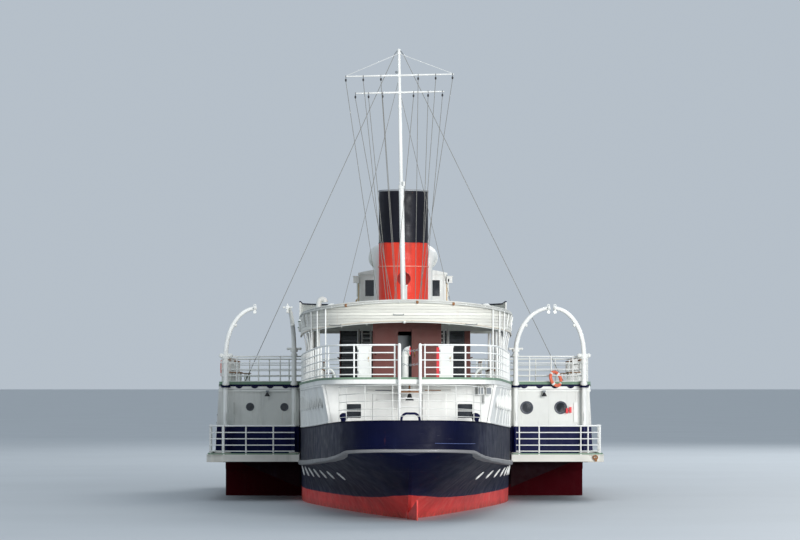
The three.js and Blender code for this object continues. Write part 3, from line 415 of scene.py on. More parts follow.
class Shader:
    """Adds nodes to one material. Places are metres of the model."""

    def __init__(self, name, shine=0.5, **inputs):
        self.mat = bpy.data.materials.new(name)
        self.mat.use_nodes = True
        self.tree = self.mat.node_tree
        self.bsdf = self.tree.nodes["Principled BSDF"]
        self.bsdf.inputs["Specular IOR Level"].default_value = shine
        for key, value in inputs.items():
            self.bsdf.inputs[key.replace("_", " ").title()].default_value = value
        self.place = self.node("TexCoord").outputs["Object"]
        self.x, self.y, self.z = self.node("SeparateXYZ", {0: self.place}).outputs

    def node(self, kind, inputs=None):
        """A node whose inputs, by name or number, get values or links."""
        made = self.tree.nodes.new("ShaderNode" + kind)
        for key, value in (inputs or {}).items():
            self.link(value, made.inputs[key])
        return made

    def link(self, source, target):
        if isinstance(source, (int, float, tuple)):
            target.default_value = source
        else:
            self.tree.links.new(source, target)

    def math(self, kind, a, b=0.0, clamp=False):
        made = self.node("Math", {0: a, 1: b})
        made.operation = kind
        made.use_clamp = clamp
        return made.outputs[0]

    def times(self, a, b):
        return self.math("MULTIPLY", a, b)

    def sum(self, a, b, clamp=False):
        return self.math("ADD", a, b, clamp)

    def noise(self, scale, stretch=(1, 1, 1), detail=4, rough=0.55):
        """Noise of about scale blobs a metre, squeezed along each axis by stretch."""
        place = self.node("Mapping", {"Scale": stretch, "Vector": self.place}).outputs[0]
        look = {"Scale": scale, "Detail": detail, "Roughness": rough, "Vector": place}
        return self.node("TexNoise", look).outputs["Fac"]

    def span(self, value, low, high, to_low=0.0, to_high=1.0):
        """The value mapped from low..high, held inside the new range."""
        ends = {"From Min": low, "From Max": high, "To Min": to_low, "To Max": to_high}
        return self.node("MapRange", {"Value": value, **ends}).outputs[0]

    def cloud(self, scale, low, high, to_low=0.0, to_high=1.0, **look):
        return self.span(self.noise(scale, **look), low, high, to_low, to_high)

    def vary(self, colour, scale, to_low, to_high, **look):
        """The colour, clouded between two brightnesses."""
        return self.shade(colour, self.cloud(scale, 0.3, 0.7, to_low, to_high, **look))

    def mix(self, part, a, b, kind="MIX"):
        """Colour a where part is 0 and b where it is 1."""
        made = self.node("Mix")
        made.data_type = "RGBA"
        made.blend_type = kind
        for source, key in ((part, "Factor"), (a, 6), (b, 7)):
            self.link(source, made.inputs[key])
        return made.outputs[2]

    def shade(self, colour, amount):
        """The colour times a brightness."""
        grey = self.node("CombineXYZ", {0: amount, 1: amount, 2: amount})
        return self.mix(1, colour, grey.outputs[0], "MULTIPLY")

    def stripes(self, value, pitch, width):
        """1 in a band of that width about every pitch, softened at its edges."""
        return self.span(self.math("PINGPONG", value, pitch / 2), width, 0.0)

    def bump(self, height, distance):
        made = self.node("Bump", {"Distance": distance, "Strength": 1.0, "Height": height})
        self.link(made.outputs[0], self.bsdf.inputs["Normal"])

    def done(self, colour, rough):
        self.link(colour, self.bsdf.inputs["Base Color"])
        self.link(rough, self.bsdf.inputs["Roughness"])
        return self.mat


RUST = linear((128, 66, 32))
RUST_PALE = linear((176, 128, 88))
DIRT = linear((96, 92, 84))


def weathered(s, rgb, rust, streak, grime):
    """Paint with cloudy fading, streaks of dirt that run down, and rust in small patches and runs."""
    colour = s.shade(linear(rgb), s.cloud(1.1, 0.3, 0.7, 0.86, 1.08, detail=6))
    runs = s.cloud(7, 0.52, 0.78, stretch=(1, 1, 0.12), detail=5, rough=0.6)
    dirty = s.times(runs, s.cloud(1.3, 0.42, 0.7, detail=3))
    colour = s.mix(s.times(dirty, grime), colour, DIRT)
    fine_runs = s.cloud(16, 0.6, 0.8, stretch=(1, 1, 0.07), rough=0.65)
    where = s.noise(2.1, (1, 1, 0.6))
    colour = s.mix(s.times(s.times(fine_runs, s.span(where, 0.56, 0.7)), streak), colour, RUST_PALE)
    spots = s.times(s.cloud(34, 0.66, 0.72, detail=6, rough=0.7), s.span(where, 0.5, 0.64))
    return s.mix(s.times(spots, rust), colour, RUST), spots, dirty


def fine_marks(s):
    return s.noise(60, (1, 1, 0.25), detail=3)


def paint(name, rgb, rough=0.42, rust=0.35, streak=0.5, grime=0.4, brush=0.0006, shine=0.5):
    s = Shader(name, shine)
    colour, spots, dirty = weathered(s, rgb, rust, streak, grime)
    worn = s.sum(s.cloud(9, 0.3, 0.7, rough - 0.1, rough + 0.14, detail=5), s.times(spots, 0.35))
    s.bump(s.sum(fine_marks(s), s.times(spots, 1.4)), brush)
    return s.done(colour, s.sum(worn, s.times(dirty, 0.2), clamp=True))


def two_tone(name, high, low, at, rough=0.42, rust=0.5, streak=0.5, grime=0.4, shine=0.2):
    """Paint of one colour above a height of the ship and another below it."""
    s = Shader(name, shine)
    above, _, dirty = weathered(s, high, rust, streak, grime)
    below = s.vary(linear(low), 1.4, 0.8, 1.2, detail=5)
    below = s.mix(s.times(dirty, 0.15), below, linear((80, 88, 120)))
    colour = s.mix(s.span(s.z, at * K - 0.001, at * K + 0.001), below, above)
    s.bump(s.sum(fine_marks(s), s.times(s.noise(2.4, detail=2), 6.0)), 0.0012)
    return s.done(colour, s.cloud(9, 0.3, 0.7, rough - 0.1, rough + 0.14, detail=5))


def hull_paint():
    """Navy plating over red boot-topping, with plate seams, scuffs and rust."""
    s = Shader("hull_navy", 0.1)
    wobble = s.cloud(2.5, 0.3, 0.7, -0.004, 0.004, stretch=(1, 1, 0.2), detail=3)
    # The red rises towards the stern and the bow.
    far = s.times(s.math("ABSOLUTE", s.x), 1 / (END_X * K))
    rise = s.times(s.math("POWER", far, 7.0), 0.42 * K)
    above = s.math("SUBTRACT", s.math("SUBTRACT", s.z, s.sum(rise, wobble)), 0.48 * K)
    navy = s.vary(linear((2, 6, 38)), 0.9, 0.75, 1.25, stretch=(1, 1, 2.2), detail=6)
    salt = s.cloud(6, 0.5, 0.85, stretch=(1, 1, 0.18), detail=6, rough=0.65)
    salt = s.times(salt, s.cloud(1.6, 0.4, 0.75, detail=3))
    navy = s.mix(s.times(salt, 0.07), navy, linear((80, 94, 140)))
    chalk = s.times(s.span(above, 0.0, 0.12, 0.2, 0.0), s.noise(14, detail=5))
    navy = s.mix(chalk, navy, linear((80, 88, 128)))
    red = s.vary(linear((214, 70, 66)), 1.7, 0.8, 1.15, stretch=(1, 1, 1.6), detail=6)
    pale = s.cloud(5, 0.52, 0.8, stretch=(1, 1, 0.5), detail=7, rough=0.7)
    red = s.mix(s.times(pale, 0.55), red, linear((232, 150, 136)))
    scum = s.times(s.span(s.z, 0.11, 0.0), s.cloud(11, 0.35, 0.7, detail=6, rough=0.7))
    red = s.mix(scum, red, linear((96, 58, 44)))
    colour = s.mix(s.span(above, -0.0015, 0.0015), red, navy)
    runs = s.cloud(14, 0.6, 0.78, stretch=(1, 1, 0.06), rough=0.6)
    runs = s.times(runs, s.cloud(1.9, 0.54, 0.7, stretch=(1, 1, 0.8)))
    colour = s.mix(s.times(runs, 0.65), colour, RUST)
    scuffs = s.cloud(9, 0.66, 0.76, stretch=(0.25, 0.25, 4), detail=7, rough=0.7)
    colour = s.mix(s.times(scuffs, 0.5), colour, linear((150, 150, 158)))
    lines = s.math("MAXIMUM", s.stripes(s.x, 2.1, 0.006), s.stripes(s.sum(s.z, 0.1), 0.42, 0.005))
    dents = s.times(s.noise(3.2, (1, 1, 1.4), detail=2), 1.2)
    frames = s.times(s.span(s.math("PINGPONG", s.x, 0.15), 0.0, 0.15), 0.25)
    s.bump(s.sum(s.sum(dents, frames), s.times(lines, 0.3)), 0.005)
    return s.done(colour, s.sum(s.cloud(5, 0.3, 0.7, 0.42, 0.62, detail=5), s.times(runs, 0.3), clamp=True))


def funnel_paint():
    """Red with a black top, soot, and runs from the seams."""
    s = Shader("funnel_red", 0.2)
    edge = s.math("SUBTRACT", s.z, FUNNEL_BLACK * K)
    is_black = s.span(s.sum(edge, s.cloud(8, 0.3, 0.7, -0.004, 0.004, detail=3)), -0.001, 0.001)
    red = s.vary(linear((232, 62, 44)), 1.6, 0.84, 1.1, stretch=(1, 1, 0.6), detail=6)
    faded = s.cloud(9, 0.5, 0.8, stretch=(1, 1, 0.12), detail=6, rough=0.65)
    red = s.mix(s.times(faded, 0.4), red, linear((232, 112, 88)))
    soot = s.cloud(12, 0.45, 0.75, stretch=(1, 1, 0.1), detail=5)
    red = s.mix(s.times(soot, s.span(edge, -0.5, 0.0, 0.05, 0.6)), red, linear((90, 34, 30)))
    black = s.vary(linear((18, 18, 28)), 3, 0.6, 1.5, stretch=(1, 1, 0.4), detail=6)
    ash = s.cloud(10, 0.5, 0.8, stretch=(1, 1, 0.15), detail=6, rough=0.7)
    black = s.mix(s.times(ash, 0.35), black, linear((52, 51, 60)))
    spots = s.cloud(26, 0.66, 0.72, detail=6, rough=0.7)
    colour = s.mix(s.times(spots, 0.6), s.mix(is_black, red, black), RUST)
    s.bump(s.sum(s.times(s.noise(6, detail=3), 0.4), s.times(s.stripes(s.z, 0.62, 0.004), 0.6)), 0.003)
    return s.done(colour, s.cloud(7, 0.3, 0.7, 0.34, 0.6, detail=5))


def planked(name, rgb, plank, axis, rough=0.55, worn=0.5, under=(120, 100, 80)):
    """Painted or bare boards laid side by side across one axis."""
    s = Shader(name)
    across = {"y": s.y, "z": s.z}[axis]
    stretch = {"y": (0.6, 12, 12), "z": (0.6, 1, 12)}[axis]
    tone = s.node("TexWhiteNoise")
    tone.noise_dimensions = "1D"
    s.link(s.math("FLOOR", s.math("DIVIDE", across, plank)), tone.inputs["W"])
    grain = s.noise(7, stretch, detail=6, rough=0.65)
    colour = s.shade(linear(rgb), s.span(tone.outputs["Value"], 0, 1, 0.88, 1.06))
    colour = s.shade(colour, s.span(grain, 0.3, 0.7, 0.9, 1.06))
    peeled = s.cloud(5, 0.62, 0.68, stretch=stretch, detail=8, rough=0.75)
    peeled = s.times(peeled, s.cloud(1.4, 0.45, 0.6, detail=3))
    colour = s.mix(s.times(peeled, worn), colour, linear(under))
    gap = s.stripes(across, plank, 0.003)
    colour = s.mix(s.times(gap, 0.75), colour, linear((60, 52, 44)))
    runs = s.times(s.cloud(15, 0.6, 0.78, stretch=(1, 1, 0.08)), s.cloud(2.0, 0.5, 0.66))
    colour = s.mix(s.times(runs, 0.5), colour, RUST_PALE)
    s.bump(s.math("SUBTRACT", s.times(grain, 0.25), s.sum(gap, s.times(peeled, 0.25))), 0.003)
    return s.done(colour, s.span(grain, 0.3, 0.7, rough - 0.08, rough + 0.12))


def rusty_top_paint():
    """The canopy's roof canvas and edge: pale paint with rust and dirt."""
    s = Shader("canopy_roof")
    base = s.vary(linear((206, 204, 194)), 1.3, 0.82, 1.1, detail=6)
    stains = s.cloud(4, 0.52, 0.7, detail=8, rough=0.7)
    base = s.mix(s.times(stains, 0.7), base, linear((128, 122, 110)))
    rust = s.times(s.cloud(9, 0.58, 0.66, detail=8, rough=0.72), s.cloud(2, 0.4, 0.6, detail=3))
    s.bump(s.sum(s.noise(40), s.times(s.stripes(s.x, 0.6, 0.012), 2.0)), 0.0015)
    return s.done(s.mix(rust, base, RUST), 0.75)


def glass_paint():
    # The glass is opaque. Its near-black colour is painted shade for the dark rooms behind it, clouded by a paler
    # haze.
    s = Shader("glass_painted_shade", coat_weight=0.6, coat_roughness=0.05)
    s.bsdf.inputs["IOR"].default_value = 1.5
    haze = s.cloud(7, 0.35, 0.75, stretch=(1, 1, 0.5), detail=6)
    return s.done(s.mix(haze, linear((18, 21, 26)), linear((42, 47, 54))), s.span(haze, 0, 1, 0.06, 0.3))


def metal_paint(name, rgb, rough=0.4, rust=0.4):
    s = Shader(name, metallic=0.85)
    spots = s.cloud(22, 0.62, 0.7, detail=7, rough=0.7)
    s.bump(s.noise(80, detail=3), 0.0006)
    colour = s.mix(s.times(spots, rust), s.vary(linear(rgb), 14, 0.75, 1.15, detail=5), RUST)
    return s.done(colour, s.span(spots, 0, 1, rough, 0.8))


def wire_paint(name, rgb):
    s = Shader(name)
    s.bump(s.noise(220, detail=2), 0.0008)
    return s.done(s.shade(linear(rgb), s.cloud(160, 0.35, 0.65, 0.7, 1.15, detail=2)), 0.85)


FUNNEL_BLACK = 9.33
SPLIT_Z = 2.56  # white above and navy below, on the paddle boxes and davits

HULL = hull_paint()
WHITE = paint("white_paint", (236, 236, 231), 0.42, 0.5, 0.55, 0.35)
CREAM = paint("fascia_cream", (214, 210, 198), 0.5, 0.6, 0.7, 0.6)
RAIL_WHITE = paint("rail_white", (238, 238, 234), 0.38, 0.55, 0.4, 0.2)
NAVY = paint("navy_paint", (4, 9, 50), 0.5, 0.5, 0.35, 0.15, shine=0.12)
DECK = paint("deck_green", (112, 140, 118), 0.7, 0.2, 0.1, 0.7, 0.0015)
# A brown lighter than the real paint: painted light that makes up for the shade under the canopy.
BROWN = paint("brown", (130, 76, 70), 0.45, 0.2, 0.2, 0.35, shine=0.3)
GUARD = paint("guard_red", (58, 6, 13), 0.9, 0.25, 0.15, 0.12, 0.002, 0.05)
WHEEL = paint("wheel_red", (132, 44, 36), 0.65, 0.7, 0.3, 0.7, 0.002)
# A pale red for the funnel's seam ring: a painted highlight along the seam's lip.
SEAM_HIGHLIGHT = paint("seam_painted_highlight", (236, 128, 108), 0.5, 0.3, 0.3, 0.3)
COWL_RED = paint("cowl_red", (150, 40, 36), 0.5, 0.3, 0.2, 0.3)
BLACK = paint("black_paint", (30, 30, 34), 0.4, 0.2, 0.1, 0.3)
ORANGE = paint("lifebuoy_orange", (226, 112, 82), 0.6, 0.0, 0.0, 0.35)
GREY = paint("grey_paint", (128, 134, 138), 0.5, 0.4, 0.3, 0.5)
FUNNEL = funnel_paint()
SKIRT = planked("canopy_boards", (228, 226, 216), 0.05, "z", 0.55, 0.7, (150, 128, 100))
DECK_BOARDS = planked("deck_boards", (118, 142, 120), 0.065, "y", 0.68, 0.45, (128, 118, 98))
BENCH_WOOD = planked("bench_wood", (150, 104, 62), 0.05, "z", 0.5, 0.3, (110, 86, 60))
ROOF = rusty_top_paint()
# Opaque dark glass: painted shade for the rooms behind windows, portholes and skylights.
GLASS_SHADE = glass_paint()
STEEL = metal_paint("shaft_steel", (150, 152, 156))
BRASS = metal_paint("brass", (190, 150, 80), 0.3, 0.1)
WIRE = wire_paint("rigging_wire", (138, 136, 130))
RUSTY = paint("rusty_white", (216, 206, 190), 0.6, 1.0, 0.9, 0.8, 0.002)
RUST_METAL = paint("rust_metal", (150, 104, 66), 0.8, 1.0, 0.6, 0.8, 0.003)
RIM = paint("funnel_rim", (150, 152, 156), 0.5, 0.7, 0.5, 0.7)
BRIGHT_RED = paint("bright_red", (222, 40, 48), 0.45, 0.1, 0.1, 0.2)
BOX_PAINT = two_tone("box_white_navy", (226, 226, 221), (5, 12, 60), SPLIT_Z, shine=0.12)
DAVIT_PAINT = two_tone("davit_white_navy", (240, 240, 236), (5, 12, 60), SPLIT_Z, 0.42, 0.5, 0.4, 0.2)
SPONSON_PAINT = two_tone("sponson_cream_red", (222, 220, 211), (24, 5, 9), 1.36, 0.8, 0.8, 0.8, 0.5, 0.1)
# White greyed down: painted shade, as on the taffrail at the stern.
SHADE_GREY_WHITE = paint("white_painted_shade", (206, 206, 200), 0.45, 0.6, 0.4, 0.4)
DARK_RIM = paint("dark_rim", (70, 74, 84), 0.45, 0.5, 0.3, 0.4)
STRAKE_PAINT = paint("strake_grey", (118, 117, 118), 0.5, 0.5, 0.4, 0.4)
SCRATCH = paint("scratched_navy", (84, 98, 146), 0.6, 0.1, 0.1, 0.2)


# Hull

BILGE = [1.0, 0.97, 0.93, 0.85, 0.75, 0.62, 0.5, 0.37, 0.25, 0.12]
TOPSIDE = [0.04, 0.08, 0.12, 0.18, 0.24, 0.3, 0.4, 0.5, 0.6, 0.7, 0.79, 0.87, 0.94, 1.0]


def hull_loop(row):
    """The hull's section at one station, from the keel up the port side and down the starboard side."""
    x, deck, water, bottom, flare = row
    top = strake_z(x)
    if bottom < 0:
        full = 2 + 2 * (water / 3.68)
        side = [(water * (1 - t**full) ** (1 / full), bottom * t) for t in BILGE] + [(water, 0)]
        side += [(water + (deck - water) * t**flare, top * t) for t in TOPSIDE]
    else:
        steps = sorted([i * 0.01 for i in range(len(BILGE))] + [0.1] + TOPSIDE)
        side = [(deck * t**flare, bottom + (top - bottom) * t) for t in steps]
    port = [(x, max(y, 0.05), z) for y, z in side + [(deck, deck_z(x))]]
    return port + [(x, -y, z) for x, y, z in reversed(port)]


PLATING = smooth_loops([hull_loop(row) for row in HULL_LINES], 4)


def half_at(x):
    """Half-breadth of the hull's deck edge."""
    return 0.32 - 0.16 * (x - 29.3) / 0.4 if x >= 29.3 else along(HULL_LINES, x)


DECK_LINE = [(x, half_at(x)) for x, *_ in HULL_LINES]


def build_hull():
    Piece().add(HULL, loft(PLATING)).make("hull_plating", replaces=["hull"], sharp=40)
    foot = plus(deck_z, GAP)
    for name, line in (("aft", around_stern(DECK_LINE, 0)), ("fore", around_bow(DECK_LINE, 0))):
        made = Piece().add(HULL, sweep(line, bulwark_z, [(0, foot), (0, 0), (-WALL, 0), (-WALL, foot)]))
        made.add(NAVY, sweep(line, bulwark_z, [(0.0, -0.05), (0.0, 0.0), (-0.12, 0.0), (-0.12, -0.05)]))
        made.make(f"bulwark_plating_{name}", replaces=[f"bulwark_{name}"])


# x, and how far the rubbing band hangs below the CAD's strake there; x and the band's depth.
BAND_SAG = [
    (-28.6, 0.0), (-28.2, 0.07), (-27.4, 0.12), (-25.5, 0.125), (-24, 0.09), (-20, 0.05), (-14, 0.02), (-9, 0.0),
]
BAND_DEEP = [(-28.6, 0.1), (-20, 0.15), (-9, 0.17), (0, 0.1)]


def band_z(part):
    """Height of the rubbing band at a part of its depth, from 0 below to 1 on top."""
    return lambda x: strake_z(x) + 0.1 - along(BAND_SAG, x) - along(BAND_DEEP, x) * (1 - part)


def build_strakes():
    profile = [(-0.2, 0), (0.06, 0), (0.09, 0.15), (0.1, 0.5), (0.09, 0.85), (0.06, 1), (-0.2, 1)]
    profile = [(out, band_z(part)) for out, part in profile]
    for name, line in (("aft", around_stern(DECK_LINE, -9.0)), ("fore", around_bow(DECK_LINE, 9.0))):
        made = Piece().add(STRAKE_PAINT, sweep(line, strake_z, profile))
        made.make(f"rubbing_band_{name}", replaces=[f"rubbing_strake_{name}"])


# Decks


def build_promenade_deck():
    line = [(x, y) for x, y, _ in spline([(x, half, 0) for x, half in PROMENADE_EDGE], 5)]
    over = [(x, OVER_BOX[1]) for x in (-OVER_BOX[0], 0.0, OVER_BOX[0])]
    made = Piece()
    for plan, lower in ((line, 0.0), (over, 0.001)):
        made.add(DECK_BOARDS, slab(plan, plus(prom_z, lower), 0.03))
        made.add(WHITE, slab(plan, plus(prom_z, lower - 0.03), 0.13, 0.02))
    made.make("promenade_planking", replaces=["promenade_deck"])
    port = [(x, y, 0) for x, y in line]
    starboard = [(x, -y, 0) for x, y in reversed(line)]
    margin = [(-0.02, 0.0), (0.0, 0.0), (0.0, 0.035), (-0.05, 0.035), (-0.07, 0.0)]
    edges = ([p for p in starboard + port if p[0] < -6.6], [p for p in port + starboard if p[0] > 6.6])
    Piece().add(DECK, *[sweep(edge, prom_z, margin) for edge in edges]).make("deck_margin")


# Rails

RAIL_HEIGHTS = (0.12, 0.33, 0.55, 0.77, 1)  # parts of the rail's height
TUBE, TOP_TUBE, POST, BALL = 0.018, 0.027, 0.024, 0.034
RAIL_IN = 0.09
GATE_X, GATE_HALF, GATE_RAIL = -27.42, 0.31, 0.45
SPONSON_END, SPONSON_OUT, SPONSON_TOP = 9.0, 6.93, 1.6


def rail_parts(line, ground, high=1.0, pitch=1.25, thin=1.0, posts=None):
    """Round bars through round stanchions with a ball at each crossing."""
    parts = []
    for part in RAIL_HEIGHTS:
        radius = TOP_TUBE if part == 1 else TUBE
        parts.append(tube(lift(line, plus(ground, high * part)), radius * thin, 8))
    flange = [(0.06 * thin, 0), (0.06 * thin, 0.018), (0.034 * thin, 0.03)]
    for p in posts or [p for p, _ in spaced(line, pitch)]:
        foot = ground(p.x)
        parts.append(post(p.x, p.y, foot, foot + high, POST * thin))
        parts.append(lathe([(0.001 * thin, 0), *flange, (0.001 * thin, 0.03)], (p.x, p.y, foot), sides=10))
        parts += [ball((p.x, p.y, foot + high * part), BALL * thin, 8) for part in RAIL_HEIGHTS]
    return parts


def build_rail(name, parts, node, mat=RAIL_WHITE):
    Piece().add(mat, *parts).make(name, replaces=[node])


def build_promenade_rails():
    table = [row for row in PROMENADE_EDGE if row[0] < -6.7] + [(-6.62, along(PROMENADE_EDGE, -6.62))]
    line = moved(around_stern(table, per=5), -RAIL_IN)
    middle = len(line) // 2
    starboard = [p for p in line[:middle + 1] if p[1] < -GATE_RAIL]
    port = [p for p in line[middle:] if p[1] > GATE_RAIL]
    edge = starboard[-1][0]
    halves = {"port": [(edge, GATE_RAIL, 0)] + port, "starboard": starboard + [(edge, -GATE_RAIL, 0)]}
    for side, half in halves.items():
        build_rail(f"promenade_rail_{side}", rail_parts(half, prom_z), f"promenade_rail_aft_{side}")
    build_gate(edge)
    fore = moved(around_bow(PROMENADE_EDGE, OVER_BOX[0] + 0.1, per=4), -RAIL_IN)
    build_rail("promenade_rail_bow", rail_parts(fore, prom_z, pitch=1.5), "promenade_rail_fore")


def build_gate(rail_x):
    """Short bars from the rail ends to the ladder's stiles, and two chains across the gap."""
    floor = prom_z(rail_x)
    made = Piece()
    for side in (1, -1):
        y = side * GATE_HALF
        for z in (floor + 1.0, floor + 0.55):
            made.add(RAIL_WHITE, tube([(rail_x, side * GATE_RAIL, z), (GATE_X, y, z)], TUBE, 8))
        made.add(RAIL_WHITE, post(GATE_X, y, floor - 0.4, floor + 1.0, 0.048, 12))
        made.add(RAIL_WHITE, ball((GATE_X, y, floor + 1.0), 0.05, 10))
    for z in (floor + 0.87, floor + 0.45):
        for n in range(12):
            ends = [(GATE_HALF * (2 * t - 1), z - 0.05 * 4 * t * (1 - t)) for t in (n / 12, (n + 1) / 12)]
            middle = (GATE_X, *[(a + b) / 2 for a, b in zip(*ends)])
            made.add(GREY, ring(middle, 0.028, 0.008, FORE if n % 2 else UP, 10, 5))
    made.make("gate_chains")


def build_box_rails():
    end, out, inner = OVER_BOX[0] - RAIL_IN, OVER_BOX[1] - RAIL_IN, 3.74 - RAIL_IN
    line = rounded([(-end, inner, 0), (-end, out, 0), (end, out, 0), (end, inner, 0)], 0.25)
    parts = rail_parts(line, prom_z, pitch=0.76)
    build_rail("box_rail_port", parts, "paddle_box_rail_port")
    build_rail("box_rail_starboard", [mirrored(p) for p in parts], "paddle_box_rail_starboard")


def build_sponson_rails():
    aft_posts = {"port": (4.59, 5.54, 6.31), "starboard": (3.96, 4.65, 6.1)}
    out = SPONSON_OUT - RAIL_IN
    for end, sign in (("aft", -1), ("fore", 1)):
        x = sign * (SPONSON_END - RAIL_IN)
        line = rounded([(x, 3.85, 0), (x, out, 0), (sign * (BOX_END + 0.06), out, 0)], 0.85, 8)
        for side, sy in SIDES:
            posts = None
            if end == "aft":
                posts = [Vector((x, y, 0)) for y in aft_posts[side]]
                posts += [p for p, _ in spaced(line, 0.6) if p.y > SPONSON_OUT - 0.75]
            parts = rail_parts(line, level(SPONSON_TOP), pitch=1.0, posts=posts)
            parts = parts if sy > 0 else [mirrored(p) for p in parts]
            build_rail(f"guard_rail_{end}_{side}", parts, f"sponson_rail_{end}_{side}")


def build_stern_rail():
    table = [row for row in DECK_LINE if row[0] < -26.9]
    line = moved(around_stern(table), -WALL / 2)
    posts = [at_y(line, side * y) for y in (0.52, 1.33, 1.88, 2.16) for side in (1, -1)]
    parts = rail_parts(line, bulwark_z, high=1.03, thin=0.55, posts=posts)
    build_rail("taffrail", parts, "stern_rail", SHADE_GREY_WHITE)


# Canopy

CANOPY_THICK = 0.1
CANOPY_OUT = 0.07  # from the boards to the ring pipe
CANOPY_PIPE_END = -17.6
CANOPY_RUST = (2.75, 2.05, -0.05, -1.3)  # across the ship, where the pipe's clamps are rusty
CANOPY_BOARDS = 7
# Across the ship, where the thin posts meet the canopy; x and inset of the thick posts below it.
CANOPY_POSTS = (2.61, 2.88, 3.09, 3.25, 3.41, 3.52, -2.7, -2.93, -3.1, -3.27, -3.42, -3.53)
CANOPY_STANCHIONS = (-18.6, -15.5, -12.3, -9.5)


def at_roof(line, drop):
    return [(x, y, roof_z(y) - drop) for x, y, *_ in line]


def roof_band(outer, inner, high, low, inner_low=None):
    """A strip that hangs round the canopy between two plan lines."""
    drops = [(0, high), (1, high), (1, low), (0, inner_low or low)]
    return loft([[(*ab[i][:2], roof_z(ab[i][1]) - drop) for i, drop in drops] for ab in zip(outer, inner)])


def build_canopy():
    line = around_stern(CANOPY_PLAN)
    across = [-1, -0.9, -0.75, -0.6, -0.4, -0.2, 0, 0.2, 0.4, 0.6, 0.75, 0.9, 1]
    loops = []
    for x, y, _ in line[len(line) // 2:]:
        wide = max(abs(y), 0.02)
        top = [(x, t * wide, roof_z(t * wide)) for t in across]
        loops.append(top + [(px, py, pz - CANOPY_THICK) for px, py, pz in reversed(top)])
    made = Piece().add(ROOF, loft(loops))
    made.add(WHITE, roof_band(moved(line, -0.03), moved(line, -0.05), 0.04, 0.72, CANOPY_SKIRT))
    made.add(RUSTY, tube(at_roof(moved(line, -0.01), CANOPY_SKIRT + 0.01), 0.022, 6))
    made.add(SHADE_GREY_WHITE, tube(at_roof(moved(line, 0.015), 0.02), 0.03, 8))
    for row in range(CANOPY_BOARDS):
        high, low = (0.02 + at * CANOPY_SKIRT / CANOPY_BOARDS for at in (row, row + 0.965))
        made.add(SKIRT, roof_band(moved(line, -0.006 * (row % 2)), moved(line, -0.05), high, low))
    made.make("canopy_shell", replaces=["canopy"])
    build_canopy_pipe(line)
    build_canopy_brackets(line)
    build_canopy_posts(line)
    build_canopy_frames()


def build_canopy_pipe(line):
    """A ring of pipe round the canopy, held by short clamps."""
    pipe = at_roof([p for p in moved(line, CANOPY_OUT) if p[0] < CANOPY_PIPE_END], 0.08)
    down = []
    for x, y, z in (pipe[0], pipe[-1]):
        down.append([(x + 0.12, y, z - 0.06), (x + 0.2, y, z - 0.2), (x + 0.2, y * 0.985, z - 0.42)])
    made = Piece().add(SHADE_GREY_WHITE, tube(down[0][::-1] + pipe + down[1], 0.03, 8))
    for p, d in spaced(pipe, 0.575, ends=False):
        out = Vector((-d.y, d.x, 0)).normalized()
        worn = p.x < -20.4 and min(abs(p.y - y) for y in CANOPY_RUST) < 0.29
        clamp = tube([p + out * 0.03, p - out * 0.13], 0.02, 6)
        made.add(RUST_METAL if worn else SHADE_GREY_WHITE, clamp, ball(p, 0.055 if worn else 0.04, 8))
    made.make("canopy_ring_pipe")


def build_canopy_brackets(line):
    """Three small hand bars and a lamp on the after face of the canopy, and the hooks under its hem."""
    made = Piece()
    for y, drop, half in ((2.3, 0.63, 0.18), (0.3, 0.45, 0.16), (-2.0, 0.64, 0.18)):
        z = roof_z(y) - drop
        ends = [at_y(moved(line, 0.004), y + half * t) for t in (-1, 1)]
        outer = [at_y(moved(line, 0.05), y + half * t) for t in (-1, -0.5, 0, 0.5, 1)]
        path = [(*ends[0].xy, z), *[(*p.xy, z - 0.03) for p in outer], (*ends[1].xy, z)]
        made.add(GREY, tube(path, 0.012, 6))
    p = at_y(moved(line, 0.03), 0.12)
    made.add(WHITE, ball((*p.xy, roof_z(0) - CANOPY_SKIRT - 0.05), 0.045, 10))
    for y in (-2.9, -2.1, -1.3, 1.3, 2.1, 2.9):
        p = at_y(moved(line, -0.06), y)
        z = roof_z(y) - CANOPY_SKIRT
        made.add(WHITE, tube([(*p.xy, z), (*p.xy, z - 0.08), (p.x + 0.03, p.y, z - 0.11)], 0.009, 5))
    made.make("canopy_brackets")


def build_canopy_posts(line):
    made = Piece()
    line = moved(line, CANOPY_OUT - 0.02)
    for p in [at_y(line, y) for y in CANOPY_POSTS]:
        foot = (p.x, math.copysign(min(abs(p.y), prom_half(p.x) - 0.14), p.y))
        floor = prom_z(p.x)
        path = [(*foot, floor), (*foot, floor + 1.2), (*p.xy, roof_z(p.y) - 0.1)]
        made.add(RAIL_WHITE, tube(path, 0.023, 6))
    for x in CANOPY_STANCHIONS:
        y = min(along(CANOPY_PLAN, x), prom_half(x)) - 0.3
        for side in (1, -1):
            made.add(RAIL_WHITE, post(x, side * y, prom_z(x), roof_z(y) - 0.05, 0.04, 10))
            flange = [(0.1, 0), (0.1, 0.02), (0.05, 0.05)]
            made.add(RAIL_WHITE, turned(flange, (x, side * y, prom_z(x)), sides=12))
    made.make("canopy_stanchions")


def build_canopy_frames():
    """Cambered beams and fore-and-aft stringers under the roof."""
    made = Piece()
    x = -20.4
    while x < -9.2:
        ys = [(along(CANOPY_PLAN, x) - 0.08) * t for t in (-1, -0.6, -0.3, 0, 0.3, 0.6, 1)]
        made.add(WHITE, tube([(x, y, roof_z(y) - CANOPY_THICK - 0.03) for y in ys], 0.035, 4))
        x += 0.93
    for y in (-2.4, -1.5, 1.5, 2.4):
        made.add(WHITE, tube([(x, y, roof_z(y) - 0.16) for x in (-20.3, -9.2)], 0.03, 4))
    made.make("canopy_beams")


# Funnel and cowls

FUNNEL_X, FUNNEL_RADIUS, FUNNEL_TOP, FUNNEL_SEAM = 1.0, 0.925, 11.32, 8.42


